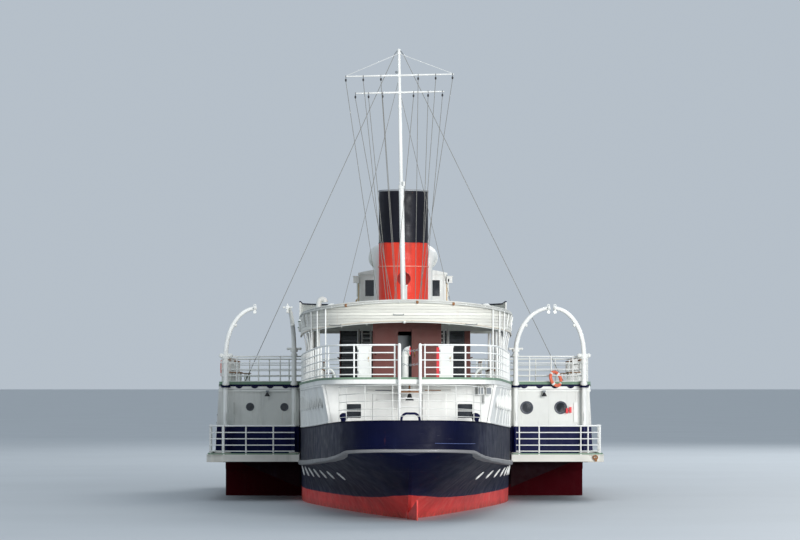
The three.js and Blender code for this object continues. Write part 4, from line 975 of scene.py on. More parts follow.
def build_funnel():
    r, top, foot, seam, black = FUNNEL_RADIUS, FUNNEL_TOP, BRIDGE_DECK, FUNNEL_SEAM, FUNNEL_BLACK
    profile = [
        (0.12, foot), (0.12, foot + 0.05), (0.03, foot + 0.08), (0, foot + 0.3),
        (0, seam), (0.02, seam + 0.005), (0.02, seam + 0.055), (0, seam + 0.06),
        (0, black - 0.03), (0.012, black - 0.025), (0.012, black + 0.025), (0, black + 0.03),
        (0, top - 0.06), (-0.055, top - 0.06), (-0.055, foot + 0.02),
    ]
    rim = [(-0.05, top - 0.06), (0.02, top - 0.06), (0.022, top - 0.01), (0.012, top), (-0.05, top)]
    made = Piece()
    # The seam ring's pale red is a painted highlight.
    for mat, shape in ((FUNNEL, profile), (RIM, rim), (SEAM_HIGHLIGHT, band(0, 0.024, seam + 0.01, seam + 0.05))):
        made.add(mat, lathe([(r + out, z) for out, z in shape], (FUNNEL_X, 0, 0), sides=64))
    z = foot + 0.5
    while z < top - 0.3:
        rung = [(-0.02, -0.18), (0.1, -0.18), (0.1, 0.18), (-0.02, 0.18)]
        made.add(FUNNEL, tube([(FUNNEL_X + r + out, y, z) for out, y in rung], 0.014, 6))
        z += 0.35
    made.make("funnel_casing", replaces=["funnel"], sharp=30)
    low = foot + 0.02
    track = [(FUNNEL_X + x, y, 0) for x, y in turn_points(1.22, 30)]
    fence = Piece()
    for up in (0.32, 0.62):
        fence.add(RAIL_WHITE, tube(lift(track, level(low + up)), 0.018, 6, closed=True))
    fence.add(RAIL_WHITE, *[post(x, y, low, low + 0.62, 0.02, 6) for x, y, _ in track[::3]])
    fence.make("funnel_fence")


def build_cowl(name, x, y, z, head, pipe, heading):
    """A cowl ventilator: a pipe that bends into a wide bell with a rolled lip."""
    inboard = name == "cowl_promenade"
    low = prom_z(x) if inboard else BRIDGE_DECK
    c, s = math.cos(math.radians(heading)), math.sin(math.radians(heading))
    count = 14

    def ahead(out, z):
        return (x + c * out, y + s * out, z)

    path = [(x, y, low), (x, y, low + (z - head - low) * 0.5), (x, y, z - head * 0.9)]
    radii = [pipe] * 3
    for k in range(1, count + 1):
        a = k / count * math.pi / 2
        path.append(ahead(head * 0.75 * (1 - math.cos(a)) * 0.9, z - head * 0.9 + head * 0.9 * math.sin(a)))
        radii.append(pipe + (head * 0.93 - pipe) * (k / count) ** 1.1)
    path += [ahead(head * 0.85, z), ahead(head * 0.95, z)]
    radii += [head * 0.97, head]
    made = Piece().add(WHITE, tube(path, radii, 28, caps=False))
    lip = ring(ahead(head * 0.95, z), head * 0.975, head * 0.035 + 0.006, (c, s, 0), 32, 8)
    made.add(COWL_RED if name == "cowl_small" else WHITE, lip)
    base = [(pipe * 1.35, 0), (pipe * 1.35, 0.04), (pipe * 1.02, 0.09)]
    made.add(WHITE, turned(base, (x, y, low), sides=24))
    made.add(WHITE, collar(pipe, pipe + 0.015, 0, 0.05, (x, y, z - head * 1.15), sides=24))
    # The mouth is a shallow bowl, hollow towards the bell's axis.
    cup = [
        (0.001, -0.55), (0.45, -0.5), (0.8, -0.28), (1, 0.004),
        (0.99, 0.012), (0.78, -0.24), (0.4, -0.44), (0.001, -0.5),
    ]
    r = head * 0.93
    cup = [(out if out == 0.001 else r * out, up if up > 0 else r * up) for out, up in cup]
    made.add(BRIGHT_RED if inboard else COWL_RED, lathe(cup, ahead(head * 0.955, z), (c, s, 0), 28))
    made.make(f"{name}_bell", replaces=[name])


def build_cowls():
    for row in (
        ("cowl_port", 2.75, 0.84, 8.88, 0.47, 0.27, 0),
        ("cowl_starboard", 2.75, -0.84, 8.88, 0.47, 0.27, 0),
        ("cowl_small", -1.6, 0, 7.93, 0.24, 0.12, 180),
        ("cowl_promenade", -24.6, 0.12, 5.05, 0.15, 0.1, -100),
    ):
        build_cowl(*row)


# Fittings on walls


def wall_frame(centre, out):
    """A point on a wall, with its outward and upward directions and the one along it."""
    out = Vector(out).normalized()
    up = Vector(UP)
    up = (up - out * up.dot(out)).normalized()
    return Vector(centre), out, up, up.cross(out)


def wall_loop(frame, wide, high, round_by, depth, steps=4):
    """The outline of a rectangle with rounded corners, at a depth from a wall."""
    centre, out, up, side = frame
    r = min(round_by, wide / 2, high / 2)
    w, h = wide / 2 - r, high / 2 - r
    loop = []
    for cx, cy, start in ((w, h, 0), (-w, h, 90), (-w, -h, 180), (w, -h, 270)):
        for k in range(steps + 1 if r else 1):
            t = math.radians(start + 90 * k / steps)
            loop.append(centre + side * (cx + r * math.cos(t)) + up * (cy + r * math.sin(t)) + out * depth)
    return loop


def plate(frame, wide, high, near, far, round_by=0.0):
    """A flat plate on a wall, from near to far along its outward direction."""
    return loft([wall_loop(frame, wide, high, round_by, depth) for depth in (near, far)])


def hoop(frame, wide, high, thick, near, far, round_by=0.03):
    """A plate with a hole, as round a window."""
    loops = []
    for grow, depth in band(0, thick, near, far):
        loops.append(wall_loop(frame, wide + 2 * grow, high + 2 * grow, round_by + grow, depth))
    return loft(loops, ring=True)


def add_porthole(made, centre, out, radius, rim=WHITE):
    profile = [(0.82, -0.01), (1.16, -0.01), (1.16, 0.012), (1.04, 0.028), (0.86, 0.02)]
    made.add(rim, lathe([(radius * r, z) for r, z in profile], centre, out, 24))
    made.add(GLASS_SHADE, turned([(radius * 0.9, -0.01), (radius * 0.9, 0.006)], centre, out, 24))


def add_window(made, centre, out, wide, high, thick=0.045, bars=0, rim=WHITE, corner=0.03):
    frame = wall_frame(centre, out)
    made.add(rim, hoop(frame, wide, high, thick, -0.01, 0.025, corner))
    made.add(GLASS_SHADE, plate(frame, wide + 0.02, high + 0.02, -0.012, 0.004, corner))
    at, out, up, side = frame
    for k in range(bars):
        middle = at + up * (high * ((k + 1) / (bars + 1) - 0.5))
        made.add(rim, plate((middle, out, up, side), wide, 0.022, 0.0, 0.018))


# Saloon and the hull's sides

SALOON_AFT, SALOON_FORE = -25.6, 17.4
AFT_PORTHOLES = {
    "port": (-22.1, -19.9, -18.1, -16.3, -14.6, -12.9, -11.1),
    "starboard": (-21.2, -18.7, -16.4, -14.3, -12.7, -11.4, -10.3),
}
FORE_PORTHOLES = (10.4, 12.5, 14.6, 16.7, 18.8, 20.9)


def saloon_wall(x, z, side):
    """Point and outward direction of the saloon's side wall at a height."""

    def y_at(at):
        t = (z - bulwark_z(at)) / (prom_z(at) - 0.16 - bulwark_z(at))
        return half_at(at) * (1 - t) + (prom_half(at) - 0.03) * t

    return (x, side * (y_at(x) + 0.004), z), ((y_at(x - 0.3) - y_at(x + 0.3)) / 0.6, side, 0)


def plating_half(x, z):
    """Half-breadth of the plating at a place on the hull's side."""
    halves = []
    for loop in PLATING:
        rising = [(p[2], p[1]) for p in loop[:len(loop) // 2]]
        halves.append((loop[0][0], along(rising, z)))
    return along(halves, x)


def hull_side(x, z, side):
    """Point and outward direction of the hull's side at a height."""
    slope_x = (plating_half(x + 0.2, z) - plating_half(x - 0.2, z)) / 0.4
    slope_z = (plating_half(x, z + 0.1) - plating_half(x, z - 0.1)) / 0.2
    return (x, side * (plating_half(x, z) + 0.004), z), (-slope_x, side, -slope_z)


def build_side_windows():
    for name, side in SIDES:
        made = Piece()
        x = -24.4
        while x < 16.6:
            if not -9.4 < x < 9.4:
                z = 0.46 * prom_z(x) + 0.54 * bulwark_z(x) + 0.12
                add_window(made, *saloon_wall(x, z, side), 0.46, 0.42, corner=0.06)
            x += 1.28
        made.make(f"saloon_windows_{name}")
        made = Piece()
        for x in AFT_PORTHOLES[name] + FORE_PORTHOLES:
            at, out = hull_side(x, 1.06 + 0.0002 * x * x if x < 0 else 1.2, side)
            add_porthole(made, at, out, 0.13)
            at, out, up, along_wall = wall_frame(at, out)
            brow = [at + along_wall * a + up * b + out * 0.012 for a, b in turn_points(0.2, 10, 20, 160)]
            made.add(WHITE, tube(brow, 0.014, 6))
        made.make(f"hull_portholes_{name}")


def build_saloon_trim():
    """Mouldings at the foot and the head of the saloon's sides, and the seams between its panels."""
    for name, side in SIDES:
        xs = [SALOON_AFT + 0.02 + k * (SALOON_FORE - SALOON_AFT - 0.04) / 60 for k in range(61)]
        foot = [saloon_wall(x, bulwark_z(x) + 0.03, side)[0] for x in xs]
        head = [saloon_wall(x, prom_z(x) - 0.21, side)[0] for x in xs]
        made = Piece().add(WHITE, tube(foot, 0.03, 6), tube(head, 0.028, 6))
        for x in range(-24, 17, 2):
            if abs(x) > 7:
                seam = [saloon_wall(x + 0.4, z, side)[0] for z in (bulwark_z(x) + 0.02, prom_z(x) - 0.2)]
                made.add(WHITE, tube(seam, 0.013, 4))
        made.make(f"saloon_mouldings_{name}")


def build_bulkheads():
    x, knee, floor = SALOON_AFT, bulwark_z(SALOON_AFT), deck_z(SALOON_AFT)
    made = Piece()
    for side in (1, -1):
        add_window(made, (x, side * 1.685, knee + 0.37), AFT, 0.45, 0.42, bars=1, thick=0.035)
        y = side * 0.75
        made.add(WHITE, hoop(wall_frame((x, y, floor + 0.875), AFT), 0.74, 1.7, 0.05, -0.02, 0.012, 0.02))
        made.add(SHADE_GREY_WHITE, box((x - 0.16, y - 0.5, floor + 1.81), (x, y + 0.5, floor + 1.845)))
        stain = box((x - 0.165, y - 0.2, floor + 1.8), (x - 0.155, y + 0.28, floor + 1.825))
        made.add(RUST_METAL if side < 0 else DARK_RIM, stain)
    for k in range(-4, 5):
        y = k * 0.5 + 0.25
        if abs(y) < 2.2 and not 0.35 < abs(y) < 1.2:
            made.add(WHITE, box((x - 0.012, y - 0.012, knee + 0.62), (x, y + 0.012, prom_z(x) - 0.17)))
    made.make("aft_bulkhead_fittings")
    made = Piece()
    for y, wide, bars in ((1.685, 0.45, 1), (-1.685, 0.45, 1), (-0.7, 0.4, 0), (0.0, 0.4, 0), (0.7, 0.4, 0)):
        at = (SALOON_FORE, y, bulwark_z(SALOON_FORE) + 0.37)
        add_window(made, at, FORE, wide, 0.42, bars=bars, thick=0.035)
    made.make("fore_bulkhead_fittings")


def build_saloon_doors():
    """Panels, handle and hinges on the saloon's doors."""
    floor = deck_z(SALOON_AFT)
    x = SALOON_AFT - 0.06
    for name, side in SIDES:
        made = Piece()
        for low, high in ((0.18, 0.8), (0.9, 1.6)):
            frame = wall_frame((x, side * 0.75, floor + (low + high) / 2), AFT)
            made.add(WHITE, hoop(frame, 0.44, high - low - 0.1, 0.035, 0.0, 0.012, 0.015))
        handle = [(x, side * 0.5), (x - 0.06, side * 0.5), (x - 0.06, side * 0.6)]
        made.add(BRASS, tube([(*p, floor + 0.86) for p in handle], 0.012, 8))
        for z in (floor + 0.25, floor + 1.5):
            made.add(WHITE, box((x - 0.012, side * 1.09, z), (x + 0.004, side * 0.8, z + 0.05)))
        made.make(f"saloon_door_panels_{name}", f"saloon_door_{name}_body")


# Paddle boxes and sponsons

DRUM_HALF, DRUM_TOP, DRUM_FOOT = 2.6, 6.76, 6.88
DRUM_CENTRE = 1.78
DRUM_BATTENS, DRUM_STEP = 13, 13  # number, and degrees between two
BOX_PORTHOLES = {
    "port": [(5.484, 3.25, 0.125), (4.268, 3.24, 0.125)],
    "starboard": [(-4.317, 3.22, 0.2), (-5.522, 3.22, 0.2)],
}


def build_box_fittings():
    x = -BOX_END
    for name, side in SIDES:
        made = Piece()
        for y, z, radius in BOX_PORTHOLES[name]:
            add_porthole(made, (x, y, z), AFT, radius, DARK_RIM)
            add_porthole(made, (-x, y, z), FORE, radius, DARK_RIM)
        made.add(NAVY, tube([(x - 0.004, side * y, SPLIT_Z) for y in (3.8, BOX_OUT)], 0.016, 4))
        for k in range(3):
            made.add(BOX_PAINT, post(x - 0.002, side * (4.15 + k * 0.95), 1.62, 3.8, 0.008, 4))
        lamp_y = 4.87 if side > 0 else -4.93
        made.add(GREY, box((x - 0.24, lamp_y - 0.05, 3.76), (x, lamp_y + 0.05, 3.83)))
        shade = [(0.1, 0), (0.05, 0.1), (0.02, 0.14)]
        made.add(BLACK, turned(shade, (x - 0.2, lamp_y, 3.62), sides=12))
        if side < 0:
            made.add(BRIGHT_RED, box((x - 0.12, -5.9, 3.04), (x, -5.82, 3.24)))
            made.add(BRIGHT_RED, box((x - 0.12, -5.78, 3.02), (x, -5.7, 3.2)))
            made.add(COWL_RED, box((x - 0.1, -5.86, 3.1), (x, -5.74, 3.15)))
            made.add(WHITE, plate(wall_frame((x, -6.05, 3.05), AFT), 0.12, 0.7, 0, 0.05))
        else:
            made.add(SHADE_GREY_WHITE, plate(wall_frame((x, 6.05, 3.2), AFT), 0.05, 0.42, 0, 0.04))
        made.make(f"paddle_box_end_{name}")
        build_box_side(name, side)
        build_drum(name, side)


def build_box_side(name, side):
    """Windows and doors in the outer side of each sponson house."""
    made = Piece()
    y, out = side * BOX_OUT, (0, side, 0)
    for x in (-5.6, -3.4, 3.4, 5.6):
        add_window(made, (x, y, 3.2), out, 0.5, 0.5, corner=0.06)
    for x in (-4.5, 4.5):
        frame = wall_frame((x, y, 2.62), out)
        made.add(WHITE, hoop(frame, 0.72, 1.86, 0.05, -0.01, 0.03, 0.03))
        made.add(BROWN, plate(frame, 0.72, 1.86, 0.0, 0.015))
        add_window(made, (x, y + side * 0.015, 3.1), out, 0.4, 0.5, thick=0.03)
    for sign in (-1, 1):
        made.add(NAVY, tube([(sign * x, y, SPLIT_Z) for x in (BOX_END, DRUM_HALF)], 0.016, 4))
    made.make(f"sponson_house_side_{name}")


def build_drum(name, side):
    """Fan of slots drawn as black bars of painted shade, radial battens and mouldings on the paddle box's outer
    face.
    """

    def at(x, z, out=0.0):
        half = DRUM_FOOT + (DRUM_TOP - DRUM_FOOT) * (z - 1.6) / (3.86 - 1.6)
        return (x, side * (half + out), z)

    def ray(turn, radii, out):
        c, s = math.cos(math.radians(turn)), math.sin(math.radians(turn))
        return [at(r * c, DRUM_CENTRE + r * s, out) for r in radii]

    def arc(radius, sides, out):
        return [at(x, DRUM_CENTRE + z, out) for x, z in turn_points(radius, sides, 0, 180)]

    made = Piece()
    for k in range(DRUM_BATTENS):
        made.add(NAVY, tube(ray(12 + k * DRUM_STEP, (0.55, 1.85), 0.012), 0.028, 4))
        if k < DRUM_BATTENS - 1:
            # Each slot is a black bar on the face: painted shade for the opening.
            slot_shade = ray(12 + (k + 0.5) * DRUM_STEP, (0.95, 1.3, 1.65), 0.006)
            made.add(BLACK, tube(slot_shade, [0.03, 0.05, 0.07], 8))
    made.add(NAVY, tube(arc(0.5, 20, 0.012), 0.035, 6))
    made.add(WHITE, tube(arc(1.92, 20, 0.012), 0.035, 6))
    boss = arc(0.42, 12, 0.0)
    made.add(NAVY, loft([boss, [(x, y + side * 0.03, z) for x, y, z in boss]]))
    for z in (1.63, SPLIT_Z, 3.82):
        made.add(WHITE, tube([at(-DRUM_HALF, z, 0.004), at(DRUM_HALF, z, 0.004)], 0.02, 4))
    crest = []
    for x in [DRUM_HALF * (k / 10 - 1) for k in range(21)]:
        rise = 4.06 + 0.12 * math.cos(x / DRUM_HALF * math.pi / 2)
        crest.append([(x, side * y, z) for y, z in band(6.6, 6.76, 3.85, rise)])
    made.add(WHITE, loft(crest))
    made.make(f"paddle_box_face_{name}")


def sided(line, side):
    """A plan line of the port side, or its match to starboard, with outboard on its left."""
    line = [(x, side * y, z) for x, y, z in line]
    return line if side > 0 else line[::-1]


def build_box_deck_edge():
    """Green kerb, navy band and scalloped fascia round the deck over each paddle box."""
    end, out = OVER_BOX
    plan = rounded([(-end, 3.72, 0), (-end, out, 0), (end, out, 0), (end, 3.72, 0)], 0.1, 3)
    for name, side in SIDES:
        line = sided(plan, side)
        made = Piece().add(DECK, sweep(line, prom_z, band(-0.03, 0.0, 0.0, 0.11)))
        made.add(NAVY, sweep(line, prom_z, band(-0.02, 0.012, -0.06, 0.01)))
        for sx in (-1, 1):
            for k in range(4):
                y = 4.1 + k * 0.55
                arch = [(y + 0.24 * t, 3.9 + 0.05 * (2 * t - 1) ** 2) for t in (0, 0.25, 0.5, 0.75, 1)]
                arch += [(y + 0.24, 3.97), (y, 3.97)]
                faces = [[(sx * (end + far), side * a, z) for a, z in arch] for far in (0.014, -0.03)]
                made.add(NAVY, loft(faces))
            lo, hi = (sx * (end + 0.006), side * 3.8, 3.79), (sx * (end - 0.04), side * out, 3.86)
            made.add(WHITE, box(lo, hi))
        made.make(f"box_deck_edge_{name}")


def build_sponson_edges():
    """Waterway, rolled edge and worn corner of each sponson deck."""
    end, out = SPONSON_END, SPONSON_OUT
    corners = [(-end, 3.75, 0), (-end, out - 0.3, 0), (0.3 - end, out, 0)]
    plan = rounded(corners + [(-x, y, z) for x, y, z in reversed(corners)], 0.25, 3)
    waterway = [(-0.1, 1.6), (-0.02, 1.6), (-0.02, 1.65), (-0.1, 1.63)]
    for name, side in SIDES:
        line = moved(sided(plan, side), -0.02)
        made = Piece().add(DECK, sweep(line, level(0), waterway))
        made.add(CREAM, *[tube(lift(line, level(z)), 0.022, 6) for z in (1.585, 1.36)])
        for sx in (-1, 1):
            made.add(DECK, box((sx * 8.95, side * 3.75, 1.601), (sx * 6.55, side * (out - 0.4), 1.612)))
        if side < 0:
            made.add(RUST_METAL, ring((-end, -6.6, 1.5), 0.07, 0.03, FORE, 16, 6))
            made.add(RUST_METAL, box((-9.012, -6.66, 1.36), (-8.99, -6.58, 1.5)))
        made.make(f"sponson_edge_{name}")


# Davits

DAVIT_X, DAVIT_BEND, DAVIT_RISE, DAVIT_RADIUS = -6.78, 5.12, 1.62, 0.085
# Each davit: y, reach, heading at rest, grip's height, its half length and its radius.
DAVITS = {
    "davit_port_outer": (6.33, 1.08, -90, 5.06, 0.17, 0.065),
    "davit_port_inner": (3.92, 1.22, 170, 5.3, 0.22, 0.04),
    "davit_starboard_inner": (-3.92, 1.22, -90, 5.3, 0.22, 0.04),
    "davit_starboard_outer": (-6.33, 1.08, 90, 5.06, 0.17, 0.065),
}


def build_davit(name, y, reach, heading, grip, arm, thick):
    c, s = math.cos(math.radians(heading)), math.sin(math.radians(heading))
    ahead, cross, up = Vector((c, s, 0)), Vector((-s, c, 0)), Vector(UP)
    path = [Vector((DAVIT_X, y, z)) for z in (1.6, 3.0, 4.4, DAVIT_BEND)]
    radii = [DAVIT_RADIUS] * 4
    count = 14
    for k in range(1, count + 1):
        a = k / count * math.pi / 2
        path.append(path[3] + ahead * (reach * (1 - math.cos(a))) + up * (DAVIT_RISE * math.sin(a)))
        radii.append(DAVIT_RADIUS - 0.02 * k / count)
    made = Piece().add(DAVIT_PAINT, tube(path, radii, 14))
    tip = path[-1] - ahead * 0.06
    made.add(WHITE, ball(tip, 0.075, 10), tube([tip + cross * 0.14, tip - cross * 0.14], 0.028, 6))
    made.add(WHITE, *[ball(tip + cross * sign * 0.14, 0.04, 8) for sign in (1, -1)])
    made.add(WHITE, ring(tip + up * 0.09, 0.04, 0.016, cross, 14, 6))
    made.add(WHITE, tube([tip - up * 0.06, tip - up * 0.11], 0.035, 8))
    made.add(WHITE, turned([(0.06, -0.035), (0.065, 0), (0.06, 0.035)], tip - up * 0.14, cross, 14))
    made.add(WHITE, ball(path[9] + ahead * 0.1, 0.06, 8))
    for z, r in ((1.62, 0.15), (4.07, 0.12), (grip - 0.22, 0.12), (grip - 0.06, 0.13)):
        made.add(DAVIT_PAINT if z < 2 else WHITE, collar(0.05, r, -0.05, 0.05, (DAVIT_X, y, z)))
    made.add(WHITE, tube([(DAVIT_X, y - arm, grip), (DAVIT_X, y + arm, grip)], thick, 8))
    made.add(WHITE, *[ball((DAVIT_X, y + sign * arm, grip), thick * 1.25, 8) for sign in (1, -1)])
    cleat = Vector((DAVIT_X - 0.11, y, 2.9))
    made.add(WHITE, tube([cleat - up * 0.14, cleat + up * 0.14], 0.02, 6))
    made.add(WHITE, tube([cleat, (DAVIT_X, y, 2.9)], 0.025, 6))
    made.make(f"{name}_arm", f"{name}_body", [name])


def build_davits():
    for name, row in DAVITS.items():
        build_davit(name, *row)
    for name, side in SIDES:
        made = Piece()
        for y in (6.33, 3.92):
            made.add(NAVY, box((-6.74, side * y - 0.16, 3.93), (-6.56, side * y + 0.16, 4.0)))
            made.add(NAVY, collar(0.092, 0.17, 0, 0.07, (DAVIT_X, side * y, 3.93)))
            socket = [(0.088, 0), (0.19, 0), (0.19, 0.03), (0.12, 0.06), (0.088, 0.06)]
            made.add(CREAM, lathe(socket, (DAVIT_X, side * y, 1.6), sides=18))
        made.make(f"davit_bearings_{name}")


# Mast and rigging

MAST_X, MAST_TOP, MAST_JOIN = -6.0, 16.0, 11.1
MAST_FOOT = BRIDGE_DECK + 0.002
MAST_FOOT_Y, MAST_TOP_Y = 0.04, 0.21
# Each yard: height, half length, and where across the ship its blocks hang.
UPPER_YARD = (15.05, 1.94, (2.1, 1.48, 0.85, -0.475, -1.1, -1.7))
LOWER_YARD = (14.44, 1.59, (1.76, 1.29, 0.79, -0.31, -0.83, -1.34))
YARD_TILT = -0.023  # rise for each metre to port
YARD_AFT = 0.1
STAY_X, STAY_Y = -3.6, 5.8
# Across the ship, where the halyards of each pair of blocks are made fast.
HALYARD_ENDS = [(0.92, 0.42), (0.64, 0.55), (0.31, 0.26), (-0.36, 0.4), (-0.5, -0.57), (-0.45, -0.66)]
HALYARD_X = MAST_X - 0.9


def mast_y(z):
    """The mast leans a little to port."""
    return MAST_FOOT_Y + (MAST_TOP_Y - MAST_FOOT_Y) * (z - MAST_FOOT) / (MAST_TOP - MAST_FOOT)


def at_mast(z, port=0.0):
    return (MAST_X, mast_y(z) + port, z)


def yard_z(yard, y):
    """Height of a yard at a place across the ship."""
    return yard[0] + YARD_TILT * (y - mast_y(yard[0]))


def build_mast():
    heights = [MAST_FOOT, 7.4, 9.2, MAST_JOIN - 0.02, MAST_JOIN + 0.06, 13.0, MAST_TOP]
    radii = [0.092, 0.092, 0.09, 0.088, 0.072, 0.066, 0.05]
    made = Piece().add(RAIL_WHITE, tube([at_mast(z) for z in heights], radii, 20))
    bands = [
        (MAST_FOOT, 0.17, 0.06), (6.9, 0.1, 0.05), (9.0, 0.098, 0.04),
        (11.02, 0.108, 0.12), (13.9, 0.078, 0.06), (15.8, 0.07, 0.08),
    ]
    for z, radius, high in bands:
        made.add(RAIL_WHITE, collar(0.04, radius, 0, high, at_mast(z), sides=20))
    made.add(RAIL_WHITE, ball(at_mast(15.955), 0.07, 12, (1, 1, 0.45)))
    y = mast_y(11.12)
    made.add(RAIL_WHITE, box((MAST_X - 0.2, y - 0.13, 11.1), (MAST_X + 0.02, y - 0.05, 11.26)))
    for z, half, _ in (UPPER_YARD, LOWER_YARD):
        y = mast_y(z)
        reach = [half * t for t in (-1, -0.7, -0.3, 0, 0.3, 0.7, 1)]
        path = [(MAST_X - YARD_AFT, y + out, z + YARD_TILT * out) for out in reach]
        made.add(RAIL_WHITE, tube(path, [0.022, 0.03, 0.035, 0.036, 0.035, 0.03, 0.022], 12))
        made.add(RAIL_WHITE, ring((MAST_X, y, z), 0.085, 0.02, UP, 16, 6))
        made.add(RAIL_WHITE, box((MAST_X - 0.12, y - 0.05, z - 0.05), (MAST_X, y + 0.05, z + 0.05)))
    made.make("mast_pole", replaces=["mast"])
    build_yard_blocks()
    build_wires()


def build_yard_blocks():
    made = Piece()
    x = MAST_X - YARD_AFT
    for yard in (UPPER_YARD, LOWER_YARD):
        for y in yard[2]:
            z = yard_z(yard, y)
            made.add(BLACK, ball((x, y, z - 0.13), 0.045, 8, (0.7, 0.8, 1.35)))
            made.add(STEEL, post(x, y, z, z - 0.08, 0.012, 5))
            made.add(BLACK, ring((x, y, z), 0.036, 0.01, (0, 1, 0), 10, 5))
    x, y, z = at_mast(15.96)
    for side in (1, -1):
        arm = [(x, y, z), (x, y + side * 0.08, z - 0.05), (x, y + side * 0.15, z - 0.15)]
        made.add(GREY, tube(arm, 0.022, 6))
    made.add(GREY, ball((MAST_X - 0.03, mast_y(15.17) + 0.1, 15.17), 0.05, 10))
    made.make("yard_blocks")


def sagging(a, b, sag, count=8):
    """A line between two points that hangs a little at its middle."""
    a, b, down = Vector(a), Vector(b), Vector((0, 0, sag * 4))
    return [a.lerp(b, t) - down * (t * (1 - t)) for t in (k / count for k in range(count + 1))]


def build_wires():
    """Stays, yard lifts and signal halyards, and the rail that the halyards are made fast to."""
    made, lifts = Piece(), Piece()
    for side, high, out in ((1, 15.0, 2.35), (-1, 14.5, -1.8)):
        top = at_mast(15.81, side * 0.15)
        foot = (STAY_X, side * STAY_Y, prom_z(STAY_X) + 0.04)
        made.add(WIRE, tube([top, foot], 0.011, 5))
        made.add(WIRE, tube([foot, Vector(foot).lerp(Vector(top), 0.035)], 0.02, 6))
        y = mast_y(UPPER_YARD[0]) + side * UPPER_YARD[1] * 0.97
        lift_end = (MAST_X - YARD_AFT, y, yard_z(UPPER_YARD, y) + 0.03)
        lifts.add(RAIL_WHITE, tube([at_mast(15.84), lift_end], 0.009, 4))
        made.add(WIRE, tube([at_mast(high), (MAST_X - 0.3, out, BRIDGE_DECK)], 0.008, 4))
    for upper, lower, ends in zip(UPPER_YARD[2], LOWER_YARD[2], HALYARD_ENDS):
        for yard, y, end in ((UPPER_YARD, upper, ends[0]), (LOWER_YARD, lower, ends[1])):
            start = (MAST_X - YARD_AFT, y, yard_z(yard, y) - 0.18)
            made.add(WIRE, tube(sagging(start, (HALYARD_X, end, BRIDGE_DECK + 0.5), 0.02), 0.01, 4))
    made.take(lifts)
    made.make("mast_wires")
    rail = Piece().add(BENCH_WOOD, tube([(HALYARD_X, y, BRIDGE_DECK + 0.5) for y in (1.1, -1.0)], 0.03, 8))
    for y in (1.05, 0.05, -0.95):
        rail.add(BENCH_WOOD, post(HALYARD_X, y, BRIDGE_DECK, BRIDGE_DECK + 0.5, 0.03))
    for y, _ in HALYARD_ENDS:
        rail.add(BENCH_WOOD, post(HALYARD_X, y, BRIDGE_DECK + 0.42, BRIDGE_DECK + 0.6, 0.014, 6))
    rail.make("halyard_rail")


# Bridge

DODGER_TOP = 7.24
DODGER_PLAN = [(3.95, 3.97), (7.58, 3.97), (8.55, 3.55), (9.5, 2.35)]
BRIDGE_PLAN = [(-9.0, 3.74), (3.6, 3.74), (3.9, 4.03), (7.6, 4.03), (8.6, 3.6), (9.6, 2.4)]
BRIDGE_POSTS = (-8.6, -4.5, -0.5, 3.5, 7.6)
BRIDGE_POST_Y = 3.4
VENTS = ((-8.1, 2.7, 0.42), (3.0, 3.2, 0.93), (-8.1, -2.7, 0.42))  # x, y and height of the pipe
SKYLIGHTS = ((-3.4, 2.0, 1.5), (3.1, 1.1, 1.1))  # x, length and width


def build_bridge():
    port = [(x, y, 0) for x, y in DODGER_PLAN]
    line = rounded(port + [(x, -y, 0) for x, y, _ in reversed(port)], 0.25, 3)
    cap = DODGER_TOP - 0.05
    made = Piece().add(WHITE, sweep(line, level(0), band(-0.03, 0.0, BRIDGE_DECK + 0.002, cap)))
    made.add(NAVY, sweep(line, level(0), band(-0.06, 0.0, cap, DODGER_TOP)))
    for p, d in spaced(line, 0.9):
        a = p + Vector((d.y, -d.x, 0)).normalized() * 0.035
        made.add(WHITE, post(a.x, a.y, BRIDGE_DECK, cap, 0.025, 6))
    made.make("bridge_screen", replaces=["bridge_dodger"])
    build_bridge_floor()
    build_boat_deck()
    build_wheelhouse_fittings()
    build_helm()


def build_bridge_floor():
    """Planks, a white edge, beams, and posts with braces below."""
    top, under, foot = BRIDGE_DECK, BRIDGE_DECK - 0.03, BRIDGE_DECK - 0.14
    made = Piece()
    made.add(DECK_BOARDS, slab(BRIDGE_PLAN, level(top), 0.03))
    made.add(WHITE, slab(BRIDGE_PLAN, level(under), under - foot, 0.02))
    for x in BRIDGE_POSTS:
        floor = prom_z(x) + 0.002
        for side in (1, -1):
            y = side * BRIDGE_POST_Y
            made.add(RAIL_WHITE, post(x, y, floor, foot, 0.045, 12))
            made.add(RAIL_WHITE, turned([(0.11, 0), (0.11, 0.02), (0.05, 0.06)], (x, y, floor), sides=14))
            made.add(RAIL_WHITE, tube([(x, y, top - 0.45), (x, side * 3.68, top - 0.15)], 0.02, 6))
    for k in range(12):
        x = -8.4 + k * 1.4
        made.add(WHITE, box((x, -3.6, top - 0.2), (x + 0.06, 3.6, foot)))
    made.add(WHITE, box((-9.04, -3.7, 5.9), (-9.0, 3.7, under)))
    made.make("bridge_planking", replaces=["bridge_deck"])


